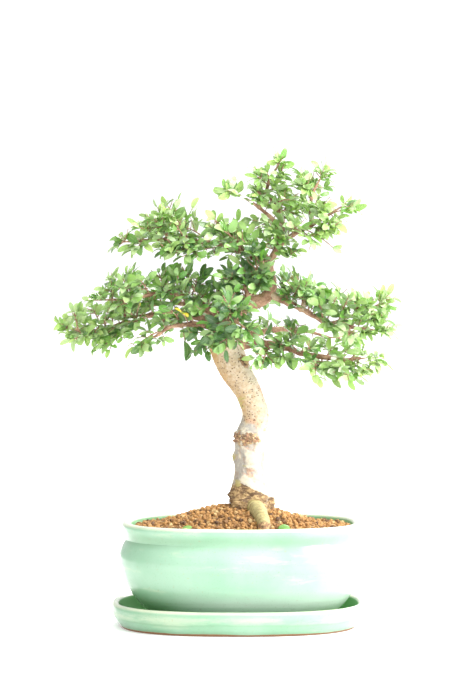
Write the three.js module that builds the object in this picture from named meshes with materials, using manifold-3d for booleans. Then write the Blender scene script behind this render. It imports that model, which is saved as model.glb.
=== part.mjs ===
// A Chinese elm bonsai, 398 mm tall, in an oval glazed pot that stands on its drip saucer.
// Millimetres, +Z up, the viewer looks along +Y. The origin lies below the pot's centre, on the
// saucer's underside.
import * as THREE from "three";
import { mergeVertices } from "three/addons/utils/BufferGeometryUtils.js";
import Module from "manifold-3d";

const wasm = await Module();
wasm.setup();

// Driving dimensions
const CLEARANCE = 0.35; // between two pieces that rest against each other
const OVAL_SHORTER = 23.5; // by how much each half width of the ovals is shorter along Y than along X
const OVAL_FROM = 60; // half length below which an oval keeps its proportions instead
const OVAL_POWER = 2.5; // 2 is an ellipse, more is squarer
const OVAL_SIDES = 32;
const SAUCER_FLOOR = 4;
const SAUCER_SHIFT = -3; // the saucer's centre lies a little left of the pot's
const POT_BASE = SAUCER_FLOOR + CLEARANCE;
const POT_FLOOR = 14;
const POT_WALL = 6;
const RIM_HEIGHT = 86.6;
const DRAIN_HOLE = { radius: 7, apart: 76 };
const MESH = { side: 24, thickness: 1.2, holes: 3, bar: 2 };
const SOIL = { edge: 82.2, peak: 100.4, peakAt: [-3, 0], reach: [72, 52], grain: 1.3, rings: 6 };
const LEAF_THICKNESS = 0.7;
const TWIG = { base: 1.5, tip: 1, side: 1.1, clasp: 0.7 };

const FINISH = {
  glaze: { color: 0xb4dcc2, roughness: 0.25, metalness: 0 },
  clay: { color: 0x9a5b34, roughness: 0.95, metalness: 0 },
  bark: { color: 0xcdb48e, roughness: 0.8, metalness: 0 },
  leaf: { color: 0x5f9a4d, roughness: 0.5, metalness: 0 },
  mesh: { color: 0x2b2b2b, roughness: 0.6, metalness: 0 },
};

// Outlines of the fired pieces, as [half length along X, height]
const SAUCER_PROFILE = [
  [0, 0],
  [97, 0],
  [98.6, 2.2],
  [101.6, 6.6],
  [103.6, 8.8],
  [105, 13.6],
  [104.4, 18],
  [102.4, 20.4],
  [99.8, 19.6],
  [94.5, 6.6],
  [90, SAUCER_FLOOR],
  [0, SAUCER_FLOOR],
];
const POT_OUTSIDE = [
  [66, POT_BASE],
  [70.5, POT_BASE],
  [71.2, 9.6],
  [78, 12.8],
  [87, 21.5],
  [96.6, 36.5],
  [102.5, 53.5],
  [101.6, 62],
  [98.9, 68.8],
  [96.5, 73],
  [98.4, 78.2],
  [99.6, 83],
  [95, RIM_HEIGHT],
];
const POT_INSIDE = [
  [92, 84.6],
  [90.4, 76],
  [96.2, 59],
  [92.5, 41],
  [81, 22.5],
  [68, POT_FLOOR],
];

// The trunk from its buried end to the point where it forks, as [x, y, z, radius]
const TRUNK = [
  [11, 0, 60, 8],
  [10, 0, 82, 14],
  [8.3, 0, 98, 17.5],
  [6.8, 0, 110, 14.6],
  [6.4, -1, 125, 12.6],
  [6.6, -2, 141.6, 12.3],
  [8, -2, 156.5, 12.3],
  [10.8, -1, 168, 11.3],
  [10.8, 0, 179, 10.7],
  [5.8, 1, 192, 11],
  [-0.8, 2, 203.8, 11.8],
  [-7.9, 3, 217, 13.2],
  [-13.3, 4, 228.7, 13],
  [-16.4, 5, 241, 12],
  [-15, 5, 252, 10.6],
  [-7.5, 4, 260.5, 8.6],
  [4.2, 2, 266.5, 6.8],
  [17.4, 0, 271, 5.6],
  [23.6, 0, 279, 5],
  [23.4, 0, 289, 4.7],
  [21.6, 0, 298, 4.4],
];
// Burls and swellings that the trunk carries: where, how far they reach and how high they stand
const KNOBS = [
  { at: [-2, -9, 156.5], reach: 8, height: 2.6 },
  { at: [-9, -5, 108], reach: 8, height: 4.2 },
  { at: [19, -3, 106], reach: 9, height: 2.5 },
  { at: [-1, -13, 220], reach: 6, height: 2 },
];
// Roots: a thick one shows at the front and dives into the soil, the others spread below its surface
const ROOTS = [
  [
    [8, -6, 100, 7], [11.5, -16, 98, 6.8], [14.5, -27, 95, 6], [16.8, -38, 90.5, 5.4],
    [18, -47, 84, 4.8], [18.5, -49, 73, 3],
  ],
  [[4, 2, 98, 8], [-10, 6, 92, 6], [-26, 12, 84, 4.5], [-38, 16, 70, 2.5]],
  [[12, 3, 98, 8], [26, 6, 90, 6], [38, 10, 80, 4], [46, 14, 66, 2.5]],
];

// Branches, as [x, y, z] points with a radius at the start and at the end
const LIMBS = {
  lowLeft: {
    radius: [2.8, 0.9],
    points: [
      [-16, 3, 248], [-34, -8, 250.5], [-48, -15, 250], [-60, -20, 248], [-68, -24, 242.5],
      [-79, -27, 236.5],
    ],
  },
  farLeft: {
    radius: [3.6, 0.8],
    points: [
      [-16, 6, 249], [-38, 14, 256], [-62, 18, 259], [-86, 15, 255], [-106, 10, 248],
      [-124, 5, 244], [-142, 0, 246],
    ],
  },
  upperLeft: {
    radius: [3.2, 0.9],
    points: [
      [-14, 4, 253], [-28, 0, 264], [-46, -7, 272.5], [-64, -11, 277], [-90, -14, 271.5],
      [-110, -14, 270.5],
    ],
  },
  backLeft: {
    radius: [3.2, 0.9],
    points: [[-15, 6, 250], [-28, 22, 260], [-46, 36, 266], [-68, 46, 266], [-86, 50, 262]],
  },
  front: {
    radius: [3.4, 1],
    points: [[-14, 2, 250], [-15, -18, 256], [-10, -34, 256], [-2, -44, 251]],
  },
  back: {
    radius: [3.6, 1],
    points: [[-8, 4, 260], [-2, 20, 268], [6, 36, 273], [14, 48, 270]],
  },
  crown: {
    radius: [2.6, 1],
    points: [[0, 3, 264], [4, -5, 274], [2, -12, 283]],
  },
  lowRight: {
    radius: [4.6, 1.1],
    points: [
      [-10, 4, 230], [8, 0, 234], [24, -4, 233], [38, -7, 230.5], [50, -9, 226], [68, -10, 223],
      [84, -9, 221], [99, -7, 222],
    ],
  },
  backRight: {
    radius: [3.8, 1],
    points: [[-8, 6, 234], [10, 20, 241], [32, 34, 245], [54, 43, 243], [74, 47, 238]],
  },
  midRight: {
    radius: [3.1, 1],
    points: [
      [22, 0, 276], [36, -4, 269], [47, -7, 264], [58, -10, 258], [72, -11, 251], [88, -9, 256],
      [110, -4, 265],
    ],
  },
  rightFork: {
    radius: [1.8, 0.9],
    points: [[80, -10, 252.5], [90, -16, 248], [107, -22, 246]],
  },
  midLeft: {
    radius: [3.4, 1],
    points: [
      [22, 0, 297], [15, 2, 301], [6, 4, 307.5], [-8, 6, 312.5], [-22, 6, 316.5], [-48, 0, 320],
      [-70, -3, 320], [-95, -4, 318.5],
    ],
  },
  backMiddle: {
    radius: [2.8, 1],
    points: [[22, 2, 298], [19, 15, 308], [11, 28, 315], [0, 38, 317]],
  },
  topRight: {
    radius: [3.2, 0.9],
    points: [
      [21.6, 0, 297], [27.5, -1, 310], [34, -3, 318.5], [43, -5, 324.5], [61, -6, 334],
      [80, -4, 346],
    ],
  },
  leader: {
    radius: [3, 0.8],
    points: [
      [30, 0, 313], [33, 3, 326], [32.5, 4, 339], [27, 4, 350], [21, 3, 359], [23, 1, 370],
      [29, 0, 380],
    ],
  },
  topLeft: {
    radius: [1.9, 0.8],
    points: [[33, 3, 330], [20, 1, 342], [8, -2, 351], [-4, -4, 358]],
  },
  upperRight: {
    radius: [2, 0.8],
    points: [[58, -6, 332], [57, -3, 344], [58, 0, 357], [64, 3, 369]],
  },
  topBack: {
    radius: [1.9, 0.8],
    points: [[33, 4, 334], [35, 14, 342], [38, 24, 349]],
  },
  stub: {
    radius: [1.8, 1.4],
    points: [[50, -8, 261.5], [51, -8, 268], [51.5, -8, 274]],
  },
};

// Leafy sprays: the branch each grows from, how far along it (0 to 1), and where its last leaf ends
const SPRAYS = [
  ["lowLeft", 0.45, [-62, -50, 268]],
  ["lowLeft", 0.8, [-98, -36, 226]],
  ["farLeft", 0.28, [-60, 44, 240]],
  ["farLeft", 0.5, [-92, 42, 272]],
  ["farLeft", 0.64, [-112, -24, 222]],
  ["farLeft", 0.76, [-130, 28, 272]],
  ["farLeft", 0.88, [-142, -26, 234]],
  ["farLeft", 1, [-160, -4, 252]],
  ["upperLeft", 0.26, [-36, -42, 260]],
  ["upperLeft", 0.42, [-42, -8, 304]],
  ["upperLeft", 0.6, [-72, 16, 300]],
  ["upperLeft", 0.8, [-102, -36, 296]],
  ["upperLeft", 1, [-132, -30, 270]],
  ["backLeft", 0.55, [-40, 66, 282]],
  ["backLeft", 1, [-114, 64, 258]],
  ["front", 0.35, [-46, -34, 220]],
  ["front", 0.62, [-14, -52, 220]],
  ["front", 0.8, [-20, -60, 284]],
  ["front", 1, [16, -60, 238]],
  ["back", 0.5, [-22, 40, 298]],
  ["back", 1, [30, 76, 264]],
  ["crown", 1, [-8, -24, 302]],
  ["lowRight", 0.28, [14, -38, 212]],
  ["lowRight", 0.46, [48, 18, 258]],
  ["lowRight", 0.66, [60, -38, 202]],
  ["lowRight", 0.84, [90, -40, 198]],
  ["lowRight", 1, [128, -12, 216]],
  ["backRight", 0.45, [26, 62, 240]],
  ["backRight", 1, [104, 56, 244]],
  ["midRight", 0.24, [50, -36, 290]],
  ["midRight", 0.5, [68, 20, 286]],
  ["midRight", 0.76, [90, -38, 280]],
  ["midRight", 1, [130, 0, 282]],
  ["rightFork", 0.5, [84, -46, 234]],
  ["rightFork", 1, [132, -28, 248]],
  ["midLeft", 0.2, [-6, -28, 328]],
  ["midLeft", 0.38, [-18, 30, 340]],
  ["midLeft", 0.52, [-58, -32, 304]],
  ["midLeft", 0.7, [-68, 6, 358]],
  ["midLeft", 0.84, [-92, -30, 334]],
  ["midLeft", 1, [-110, 10, 316]],
  ["backMiddle", 1, [-18, 58, 316]],
  ["topRight", 0.25, [48, -28, 304]],
  ["topRight", 0.42, [12, -26, 334]],
  ["topRight", 0.68, [66, -28, 312]],
  ["topRight", 1, [104, -8, 344]],
  ["leader", 0.3, [2, 30, 326]],
  ["leader", 0.5, [46, -26, 354]],
  ["leader", 0.78, [4, -10, 378]],
  ["leader", 1, [36, -2, 397]],
  ["topLeft", 1, [-24, -8, 364]],
  ["upperRight", 0.45, [80, 14, 348]],
  ["upperRight", 1, [72, 4, 390]],
  ["topBack", 1, [38, 52, 360]],
];

// How a spray is laid out
const SPRAY = {
  lift: 0.1, // rise of the twig's middle, as a share of its length
  sideTwigs: [0.24, 0.46, 0.68], // where the side twigs leave the main one
  sideLength: [0.6, 0.5, 0.36],
  sideSpread: 0.95, // radians between a side twig and the main one
  leafEvery: 5.4,
  mostLeaves: 8,
  firstLeaf: 0.16,
  room: 2.2, // free length of twig that a leaf needs on its own side, in millimetres
  lastLeaf: 12, // how far the last leaf reaches beyond the twig
  leafSpread: 0.9,
  leafLength: [10.5, 17.5],
  leafWidth: 0.54,
  roll: 0.6, // radians that a blade turns about its rib, either way
  facing: 0.6, // how far the blades turn from facing up to facing outward
  forward: 0.45, // how far they turn to the side of the tree that they grow on, front or back
};
// Stations along a blade: share of its length, share of its half width, and arch height as a share
// of its length
const BLADE = [
  [0.36, 0.95, 0.07],
  [0.74, 0.74, 0.05],
];
const BLADE_DROOP = 0.05;

const UP = new THREE.Vector3(0, 0, 1);
const CANOPY_MIDDLE = new THREE.Vector3(-5, 4, 0);

// Numbers from 0 to 1 that repeat for the same seed
function seededRandom(seed) {
  let state = seed >>> 0;
  return () => {
    state = (Math.imul(state, 1664525) + 1013904223) >>> 0;
    return state / 4294967296;
  };
}

function solidOf(geometry) {
  geometry.deleteAttribute("normal");
  geometry.deleteAttribute("uv");
  const merged = mergeVertices(geometry, 1e-3);
  return new wasm.Manifold(
    new wasm.Mesh({
      numProp: 3,
      vertProperties: merged.attributes.position.array,
      triVerts: new Uint32Array(merged.index.array),
    }),
  );
}

function geometryOf(solid) {
  const mesh = solid.getMesh();
  const geometry = new THREE.BufferGeometry();
  geometry.setAttribute("position", new THREE.BufferAttribute(mesh.vertProperties, 3));
  geometry.setIndex(new THREE.BufferAttribute(mesh.triVerts, 1));
  return geometry;
}

function joined(solids) {
  return solids.reduce((whole, solid) => whole.add(solid));
}

function piece(name, solid, finish) {
  const geometry = geometryOf(solid).toNonIndexed();
  geometry.computeVertexNormals();
  const mesh = new THREE.Mesh(geometry, new THREE.MeshStandardMaterial(FINISH[finish]));
  mesh.name = name;
  return mesh;
}

// Moves every vertex of a geometry to where move(position) puts it.
function reshape(geometry, move) {
  const positions = geometry.attributes.position;
  const at = new THREE.Vector3();
  for (let i = 0; i < positions.count; i += 1) {
    move(at.fromBufferAttribute(positions, i));
    positions.setXYZ(i, at.x, at.y, at.z);
  }
  return geometry;
}

// Distance from the centre to a rounded oval, in one direction. halfLength is its reach along X.
function ovalRadius(halfLength, angle) {
  const shrink = (OVAL_FROM - OVAL_SHORTER) / OVAL_FROM;
  const halfWidth = halfLength > OVAL_FROM ? halfLength - OVAL_SHORTER : halfLength * shrink;
  const alongX = Math.abs(Math.cos(angle) / halfLength) ** OVAL_POWER;
  const alongY = Math.abs(Math.sin(angle) / halfWidth) ** OVAL_POWER;
  return (alongX + alongY) ** (-1 / OVAL_POWER);
}

// A profile turned about Z and pressed into the oval.
function ovalLathe(profile) {
  const points = profile.map(([x, z]) => new THREE.Vector2(x, z));
  const geometry = new THREE.LatheGeometry(points, OVAL_SIDES).rotateX(Math.PI / 2);
  return reshape(geometry, (at) => {
    const reach = Math.hypot(at.x, at.y);
    if (reach < 1e-6) return;
    const angle = Math.atan2(at.y, at.x);
    const radius = ovalRadius(reach, angle);
    at.x = radius * Math.cos(angle);
    at.y = radius * Math.sin(angle);
  });
}

function block(width, depth, height, x, y, z) {
  return solidOf(new THREE.BoxGeometry(width, depth, height).translate(x, y, z));
}

function saucer() {
  return solidOf(ovalLathe(SAUCER_PROFILE)).translate([SAUCER_SHIFT, 0, 0]);
}

function pot() {
  const underside = [[0, POT_FLOOR - POT_WALL], [65, POT_FLOOR - POT_WALL]];
  let body = solidOf(ovalLathe([...underside, ...POT_OUTSIDE, ...POT_INSIDE, [0, POT_FLOOR]]));
  for (const side of [-1, 1]) {
    const hole = new THREE.CylinderGeometry(DRAIN_HOLE.radius, DRAIN_HOLE.radius, 4 * POT_WALL, 12)
      .rotateX(Math.PI / 2)
      .translate((side * DRAIN_HOLE.apart) / 2, 0, POT_FLOOR);
    const notch = block(16, 14, 6, side * 68, 0, POT_BASE);
    body = body.subtract(solidOf(hole)).subtract(notch);
  }
  return body;
}

// A square of plastic mesh that lies over a drainage hole.
function drainMesh(x) {
  const middle = POT_FLOOR + CLEARANCE + MESH.thickness / 2;
  let sheet = block(MESH.side, MESH.side, MESH.thickness, x, 0, middle);
  const pitch = (MESH.side - MESH.bar) / MESH.holes;
  const start = (pitch - (MESH.side - MESH.bar)) / 2;
  for (let row = 0; row < MESH.holes; row += 1)
    for (let column = 0; column < MESH.holes; column += 1) {
      const open = pitch - MESH.bar;
      const hole = block(open, open, 9, x + start + column * pitch, start + row * pitch, middle);
      sheet = sheet.subtract(hole);
    }
  return sheet;
}

// A cylinder bent along a curve, with a radius that changes along it.
function bentRod(curve, radiusAt, sides, steps) {
  const frames = curve.computeFrenetFrames(steps, false);
  const rod = new THREE.CylinderGeometry(1, 1, 1, sides, steps);
  return reshape(rod, (at) => {
    const step = Math.round((at.y + 0.5) * steps);
    const share = step / steps;
    const radius = radiusAt(share);
    const centre = curve.getPoint(share);
    const across = frames.normals[step].clone().multiplyScalar(at.z * radius);
    const along = frames.binormals[step].clone().multiplyScalar(at.x * radius);
    at.copy(centre).add(across).add(along);
  });
}

function smoothCurve(points) {
  const corners = points.map(([x, y, z]) => new THREE.Vector3(x, y, z));
  return new THREE.CatmullRomCurve3(corners, false, "catmullrom", 0.5);
}

// Straight interpolation in a row of values, share running from 0 to 1.
function between(values, share) {
  const place = share * (values.length - 1);
  const low = Math.min(Math.floor(place), values.length - 2);
  return values[low] + (values[low + 1] - values[low]) * (place - low);
}

// A rod through [x, y, z, radius] points. grow widens it, for cutting its hole in the soil.
function grownRod(points, sides, steps, grow = 0) {
  const radii = points.map((point) => point[3] + grow);
  const rod = bentRod(smoothCurve(points), (share) => between(radii, share), sides, steps);
  return reshape(rod, (at) => {
    for (const knob of KNOBS) {
      const centre = new THREE.Vector3(...knob.at);
      const fall = Math.exp(-at.distanceToSquared(centre) / knob.reach ** 2);
      const axis = nearestOnTrunk(at.z);
      const outward = at.clone().sub(axis).setZ(0).normalize();
      at.addScaledVector(outward, knob.height * fall);
    }
  });
}

function nearestOnTrunk(height) {
  const heights = TRUNK.map((point) => point[2]);
  const above = Math.max(1, heights.findIndex((z) => z > height));
  const [low, high] = [TRUNK[above - 1], TRUNK[above]];
  const share = (height - low[2]) / (high[2] - low[2]);
  const [from, to] = [low, high].map(([x, y]) => new THREE.Vector3(x, y, height));
  return from.lerp(to, share);
}

function trunkAndRoots(grow = 0) {
  const trunk = solidOf(grownRod(TRUNK, 10, 26, grow));
  const roots = ROOTS.map((root, k) => solidOf(grownRod(root, k ? 5 : 6, k ? 3 : 5, grow)));
  return joined([trunk, ...roots]);
}

function limbRadius(limb, share) {
  const [start, end] = limb.radius;
  return start + (end - start) * share ** 0.8;
}

function limbSolid(limb) {
  const steps = Math.max(3, limb.points.length - 1);
  return solidOf(bentRod(smoothCurve(limb.points), (share) => limbRadius(limb, share), 5, steps));
}

function tree() {
  return joined([trunkAndRoots(), ...Object.values(LIMBS).map(limbSolid)]);
}

// Height of the soil's surface above a point, before its grains.
function soilHeight(x, y) {
  const away = Math.hypot((x - SOIL.peakAt[0]) / SOIL.reach[0], (y - SOIL.peakAt[1]) / SOIL.reach[1]);
  return SOIL.edge + (SOIL.peak - SOIL.edge) * Math.max(0, 1 - away ** 1.5);
}

// The soil fills the pot's inside. Its top is a mound with an uneven, grainy surface.
function soil(cutters) {
  const below = POT_INSIDE.filter((point) => point[1] < SOIL.edge);
  const wall = below.map(([x, z]) => [x - CLEARANCE, z + CLEARANCE]);
  const rimX = wall[0][0] + 0.8;
  const top = [];
  for (let ring = 0; ring <= SOIL.rings; ring += 1) top.push([(rimX * ring) / SOIL.rings, SOIL.edge]);
  const profile = [[0, POT_FLOOR + CLEARANCE], ...wall.reverse(), ...top.reverse()];
  const random = seededRandom(5);
  const grains = new Map();
  const body = reshape(ovalLathe(profile), (at) => {
    if (Math.abs(at.z - SOIL.edge) > 1e-3) return;
    const key = `${at.x.toFixed(2)},${at.y.toFixed(2)}`.replace("-0.00", "0.00");
    if (!grains.has(key)) grains.set(key, (random() * 2 - 1) * SOIL.grain);
    at.z = soilHeight(at.x, at.y) + grains.get(key);
  });
  return cutters.reduce((left, cutter) => left.subtract(cutter), solidOf(body));
}

// A plane for the twigs and leaves at one point: its normal, and the direction across a twig in it.
function sprayFrame(at, along) {
  const outward = at.clone().sub(CANOPY_MIDDLE).setZ(0).normalize();
  const face = UP.clone().addScaledVector(outward, SPRAY.facing);
  face.y += outward.y < 0.35 ? -SPRAY.forward : SPRAY.forward;
  face.addScaledVector(along, -face.dot(along)).normalize();
  return { face, across: new THREE.Vector3().crossVectors(face, along).normalize() };
}

// Leaves along a twig, alternating from side to side, with one at its tip.
function leavesAlong(curve, random, firstLeaf, rank) {
  const count = Math.max(2, Math.round(curve.getLength() / SPRAY.leafEvery));
  const leaves = [];
  for (let k = 0; k <= count; k += 1) {
    const atTip = k === count;
    const share = firstLeaf + (1 - firstLeaf) * (k / count);
    const along = curve.getTangent(share);
    const { face, across } = sprayFrame(curve.getPoint(share), along);
    const side = k % 2 ? 1 : -1;
    const spread = atTip ? 0.15 * side : side * (SPRAY.leafSpread + 0.4 * (random() - 0.5));
    const axis = along.clone().multiplyScalar(Math.cos(spread)).addScaledVector(across, Math.sin(spread));
    axis.addScaledVector(face, 0.7 * (random() - 0.45)).normalize();
    const roll = SPRAY.roll * (2 * random() - 1);
    const flat = new THREE.Vector3().crossVectors(axis, face).normalize();
    const normal = new THREE.Vector3().crossVectors(flat, axis);
    normal.multiplyScalar(Math.cos(roll)).addScaledVector(flat, Math.sin(roll)).normalize();
    const [short, long] = SPRAY.leafLength;
    const length = (short + (long - short) * random()) * (1 - 0.2 * share);
    leaves.push({ share, side, axis, normal, length, atTip, rank: rank(k, atTip) });
  }
  return leaves;
}

// Where a spray leaves its branch: just off the branch's surface, on the side that faces the tip.
function sprayStart(limb, share, tip) {
  const curve = smoothCurve(limb.points);
  const [centre, along] = [curve.getPoint(share), curve.getTangent(share)];
  if (share === 1) return centre.addScaledVector(along, CLEARANCE);
  const out = tip.clone().sub(centre).normalize();
  const slant = Math.abs(out.dot(along));
  const side = out.clone().addScaledVector(along, -out.dot(along)).normalize();
  return centre.addScaledVector(side, limbRadius(limb, share) + CLEARANCE + TWIG.base * (0.5 * slant + 0.2));
}

// The twigs of one spray, each with its leaves. The side twigs grow from the main one.
function sprayPlan([limbName, share, tipPoint], index) {
  const random = seededRandom(100 + index * 7919);
  const limb = LIMBS[limbName];
  const tip = new THREE.Vector3(...tipPoint);
  const start = sprayStart(limb, share, tip);
  const reach = start.distanceTo(tip) - SPRAY.lastLeaf;
  tip.lerp(start, SPRAY.lastLeaf / (reach + SPRAY.lastLeaf));
  const middle = start.clone().lerp(tip, 0.5).addScaledVector(UP, SPRAY.lift * reach);
  if (share === 1) middle.copy(start).addScaledVector(smoothCurve(limb.points).getTangent(1), 0.45 * reach);
  const curve = new THREE.QuadraticBezierCurve3(start, middle, tip);
  const towards = smoothCurve(limb.points).getPoint(share).sub(start).normalize();
  const seat = { shift: new THREE.Vector3(), towards };
  const main = { curve, width: [TWIG.base, TWIG.tip], twigs: [], seat };
  main.leaves = leavesAlong(curve, random, SPRAY.firstLeaf, (k, atTip) => (atTip ? 0 : 1 + ((k + 1) % 2)));
  SPRAY.sideTwigs.forEach((from, number) => {
    const along = curve.getTangent(from);
    const base = curve.getPoint(from);
    const { face, across } = sprayFrame(base, along);
    const side = (number + index) % 2 ? 1 : -1;
    const out = along.clone().multiplyScalar(Math.cos(SPRAY.sideSpread));
    out.addScaledVector(across, side * Math.sin(SPRAY.sideSpread));
    out.addScaledVector(face, 0.5 * (random() - 0.35));
    const length = SPRAY.sideLength[number] * reach;
    const end = base.clone().addScaledVector(out.normalize(), length);
    const twig = { curve: new THREE.LineCurve3(base, end), width: [TWIG.side, TWIG.side], twigs: [] };
    Object.assign(twig, { share: from, side });
    twig.leaves = leavesAlong(twig.curve, random, 0.3, (k, atTip) => (atTip ? 0 : 3));
    main.twigs.push(twig);
  });
  return main;
}

// A sheet is a rim, walked once round with its left side outward, and the triangles that fill it.
function rimPoint(sheet, at, normal, thickness) {
  sheet.rim.push({ at, normal, thickness });
  return sheet.rim.length - 1;
}

// A leaf's rim, out along one edge and back along the other. root is the pair of points that it grows from.
function walkBlade(sheet, leaf, root, grow = 0) {
  const across = new THREE.Vector3().crossVectors(leaf.normal, leaf.axis);
  const half = (leaf.length * SPRAY.leafWidth) / 2 + grow;
  const thickness = LEAF_THICKNESS + 2 * grow;
  const station = (share, width, arch) => {
    const at = root.middle.clone().addScaledVector(leaf.axis, share * (leaf.length + grow));
    at.addScaledVector(across, width * half).addScaledVector(leaf.normal, arch * leaf.length);
    return rimPoint(sheet, at, leaf.normal, thickness);
  };
  const start = root.first();
  const out = BLADE.map(([share, width, arch]) => station(share, width, arch));
  const tip = station(1, 0, -BLADE_DROOP);
  const back = [...BLADE].reverse().map(([share, width, arch]) => station(share, -width, arch));
  const end = root.last();
  const left = [start, ...out];
  const right = [end, ...back.reverse()];
  for (let i = 0; i + 1 < left.length; i += 1) {
    sheet.fill.push([left[i], left[i + 1], right[i + 1]], [left[i], right[i + 1], right[i]]);
  }
  sheet.fill.push([left.at(-1), tip, right.at(-1)]);
  return [start, end];
}

// Fills the strip between two rows of rim points, each row given as [share along the twig, rim point].
function fillStrip(sheet, left, right) {
  let [i, j] = [0, 0];
  while (i + 1 < left.length || j + 1 < right.length) {
    const nextLeft = i + 1 < left.length ? left[i + 1][0] : Infinity;
    const nextRight = j + 1 < right.length ? right[j + 1][0] : Infinity;
    if (nextLeft <= nextRight) {
      sheet.fill.push([left[i][1], left[i + 1][1], right[j][1]]);
      i += 1;
    } else {
      sheet.fill.push([left[i][1], right[j + 1][1], right[j][1]]);
      j += 1;
    }
  }
}

// A twig's rim with the leaves and side twigs that grow from its two edges.
function walkTwig(sheet, twig, root) {
  const { curve, width } = twig;
  const edge = (share, side) => {
    const { face, across } = sprayFrame(curve.getPoint(share), curve.getTangent(share));
    const size = width[0] + (width[1] - width[0]) * share;
    const at = curve.getPoint(share).addScaledVector(across, (side * size) / 2);
    if (share === 0 && twig.seat) at.add(twig.seat.shift);
    return rimPoint(sheet, at, face, size);
  };
  const clasp = TWIG.clasp / curve.getLength();
  const shoots = [...twig.leaves.filter((leaf) => leaf.kept && !leaf.atTip), ...twig.twigs];
  const grow = (shoot, side) => {
    const near = { share: shoot.share - clasp };
    const far = { share: shoot.share + clasp };
    const [start, end] = side > 0 ? [near, far] : [far, near];
    const from = {
      middle: curve.getPoint(shoot.share).addScaledVector(sideOf(curve, shoot.share), (side * width[1]) / 2),
      first: () => edge(start.share, side),
      last: () => edge(end.share, side),
    };
    const [first, last] = shoot.curve ? walkTwig(sheet, shoot, from) : walkBlade(sheet, shoot, from);
    return [[start.share, first], [end.share, last]];
  };
  const start = root ? root.first() : edge(0, 1);
  const left = [[0, start]];
  for (const shoot of shoots.filter(({ side }) => side > 0).sort((a, b) => a.share - b.share))
    left.push(...grow(shoot, 1));
  const tipLeaf = twig.leaves.find((leaf) => leaf.atTip && leaf.kept);
  let [tipLeft, tipRight] = [0, 0];
  if (tipLeaf) {
    const from = { middle: curve.getPoint(1), first: () => edge(1, 1), last: () => edge(1, -1) };
    [tipLeft, tipRight] = walkBlade(sheet, tipLeaf, from);
  } else {
    [tipLeft, tipRight] = [edge(1, 1), edge(1, -1)];
  }
  left.push([1, tipLeft]);
  const right = [[1, tipRight]];
  for (const shoot of shoots.filter(({ side }) => side < 0).sort((a, b) => b.share - a.share))
    right.push(...grow(shoot, -1));
  const end = root ? root.last() : edge(0, -1);
  right.push([0, end]);
  fillStrip(sheet, left, right.reverse());
  return [start, end];
}

function sideOf(curve, share) {
  return sprayFrame(curve.getPoint(share), curve.getTangent(share)).across;
}

// A sheet with its thickness: a top layer, a bottom layer and a wall round the rim.
function sheetSurface({ rim, fill }) {
  const count = rim.length;
  const corners = [0.5, -0.5].flatMap((half) =>
    rim.map(({ at, normal, thickness }) => at.clone().addScaledVector(normal, half * thickness)),
  );
  const index = fill.flatMap(([a, b, c]) => [a, c, b, a + count, b + count, c + count]);
  for (let i = 0; i < count; i += 1) {
    const next = (i + 1) % count;
    index.push(i, next, next + count, i, next + count, i + count);
  }
  return { corners, index };
}

function sheetSolid(sheet) {
  const { corners, index } = sheetSurface(sheet);
  const geometry = new THREE.BufferGeometry().setFromPoints(corners);
  return solidOf(geometry.setIndex(index));
}

// How often a closed surface wraps round a point: once inside it, not at all outside.
function wrapsRound(point, { corners, index }) {
  const [a, b, c, cross] = [0, 1, 2, 3].map(() => new THREE.Vector3());
  let angle = 0;
  for (let i = 0; i < index.length; i += 3) {
    a.subVectors(corners[index[i]], point);
    b.subVectors(corners[index[i + 1]], point);
    c.subVectors(corners[index[i + 2]], point);
    const [la, lb, lc] = [a.length(), b.length(), c.length()];
    const open = la * lb * lc + a.dot(b) * lc + b.dot(c) * la + c.dot(a) * lb;
    angle += Math.atan2(a.dot(cross.crossVectors(b, c)), open);
  }
  return angle / (2 * Math.PI);
}

// True where the surface of a sheet nowhere passes through itself: just inside each of its faces it
// wraps round once, and just outside not at all.
function foldsFreely(sheet) {
  const surface = sheetSurface(sheet);
  const { corners, index } = surface;
  for (let i = 0; i < index.length; i += 3) {
    const face = new THREE.Triangle(...[0, 1, 2].map((k) => corners[index[i + k]]));
    const normal = face.getNormal(new THREE.Vector3());
    const middle = face.getMidpoint(new THREE.Vector3());
    const probes = [middle, face.a, face.b, face.c].map((corner) => middle.clone().lerp(corner, 0.7));
    for (const probe of probes) {
      if (wrapsRound(probe.clone().addScaledVector(normal, -1e-3), surface) < 0.5) return false;
      if (wrapsRound(probe.clone().addScaledVector(normal, 1e-3), surface) > 0.5) return false;
    }
  }
  return true;
}

// True where a leaf has free twig on both sides of its foot.
function hasRoom(twig, leaf) {
  const room = SPRAY.room / twig.curve.getLength();
  const beside = [...twig.leaves.filter((other) => other.kept && !other.atTip), ...twig.twigs];
  if (leaf.atTip) return true;
  if (leaf.share < room || leaf.share > 1 - room) return false;
  return beside.every((other) => other.side !== leaf.side || Math.abs(other.share - leaf.share) > room);
}

// One blade by itself, made fatter by grow, to test what it would touch.
function loneBlade(twig, leaf, grow) {
  const sheet = { rim: [], fill: [] };
  const middle = twig.curve.getPoint(leaf.share);
  const across = sideOf(twig.curve, leaf.share);
  const side = leaf.atTip ? across : twig.curve.getTangent(leaf.share);
  const corner = (away) => () =>
    rimPoint(sheet, middle.clone().addScaledVector(side, away), leaf.normal, LEAF_THICKNESS + 2 * grow);
  const turn = leaf.atTip ? 0.5 : -0.5 * leaf.side;
  walkBlade(sheet, leaf, { middle, first: corner(turn), last: corner(-turn) }, grow);
  return sheetSolid(sheet);
}

function boxesMeet(a, b) {
  return [0, 1, 2].every((i) => a.min[i] <= b.max[i] && b.min[i] <= a.max[i]);
}

// True where a solid keeps clear of all the others.
function isClear(solid, others) {
  const box = solid.boundingBox();
  return others.every((other) => !boxesMeet(box, other.boundingBox()) || solid.intersect(other).isEmpty());
}

function twigSheet(twig) {
  const sheet = { rim: [], fill: [] };
  walkTwig(sheet, twig, null);
  return sheet;
}

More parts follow.
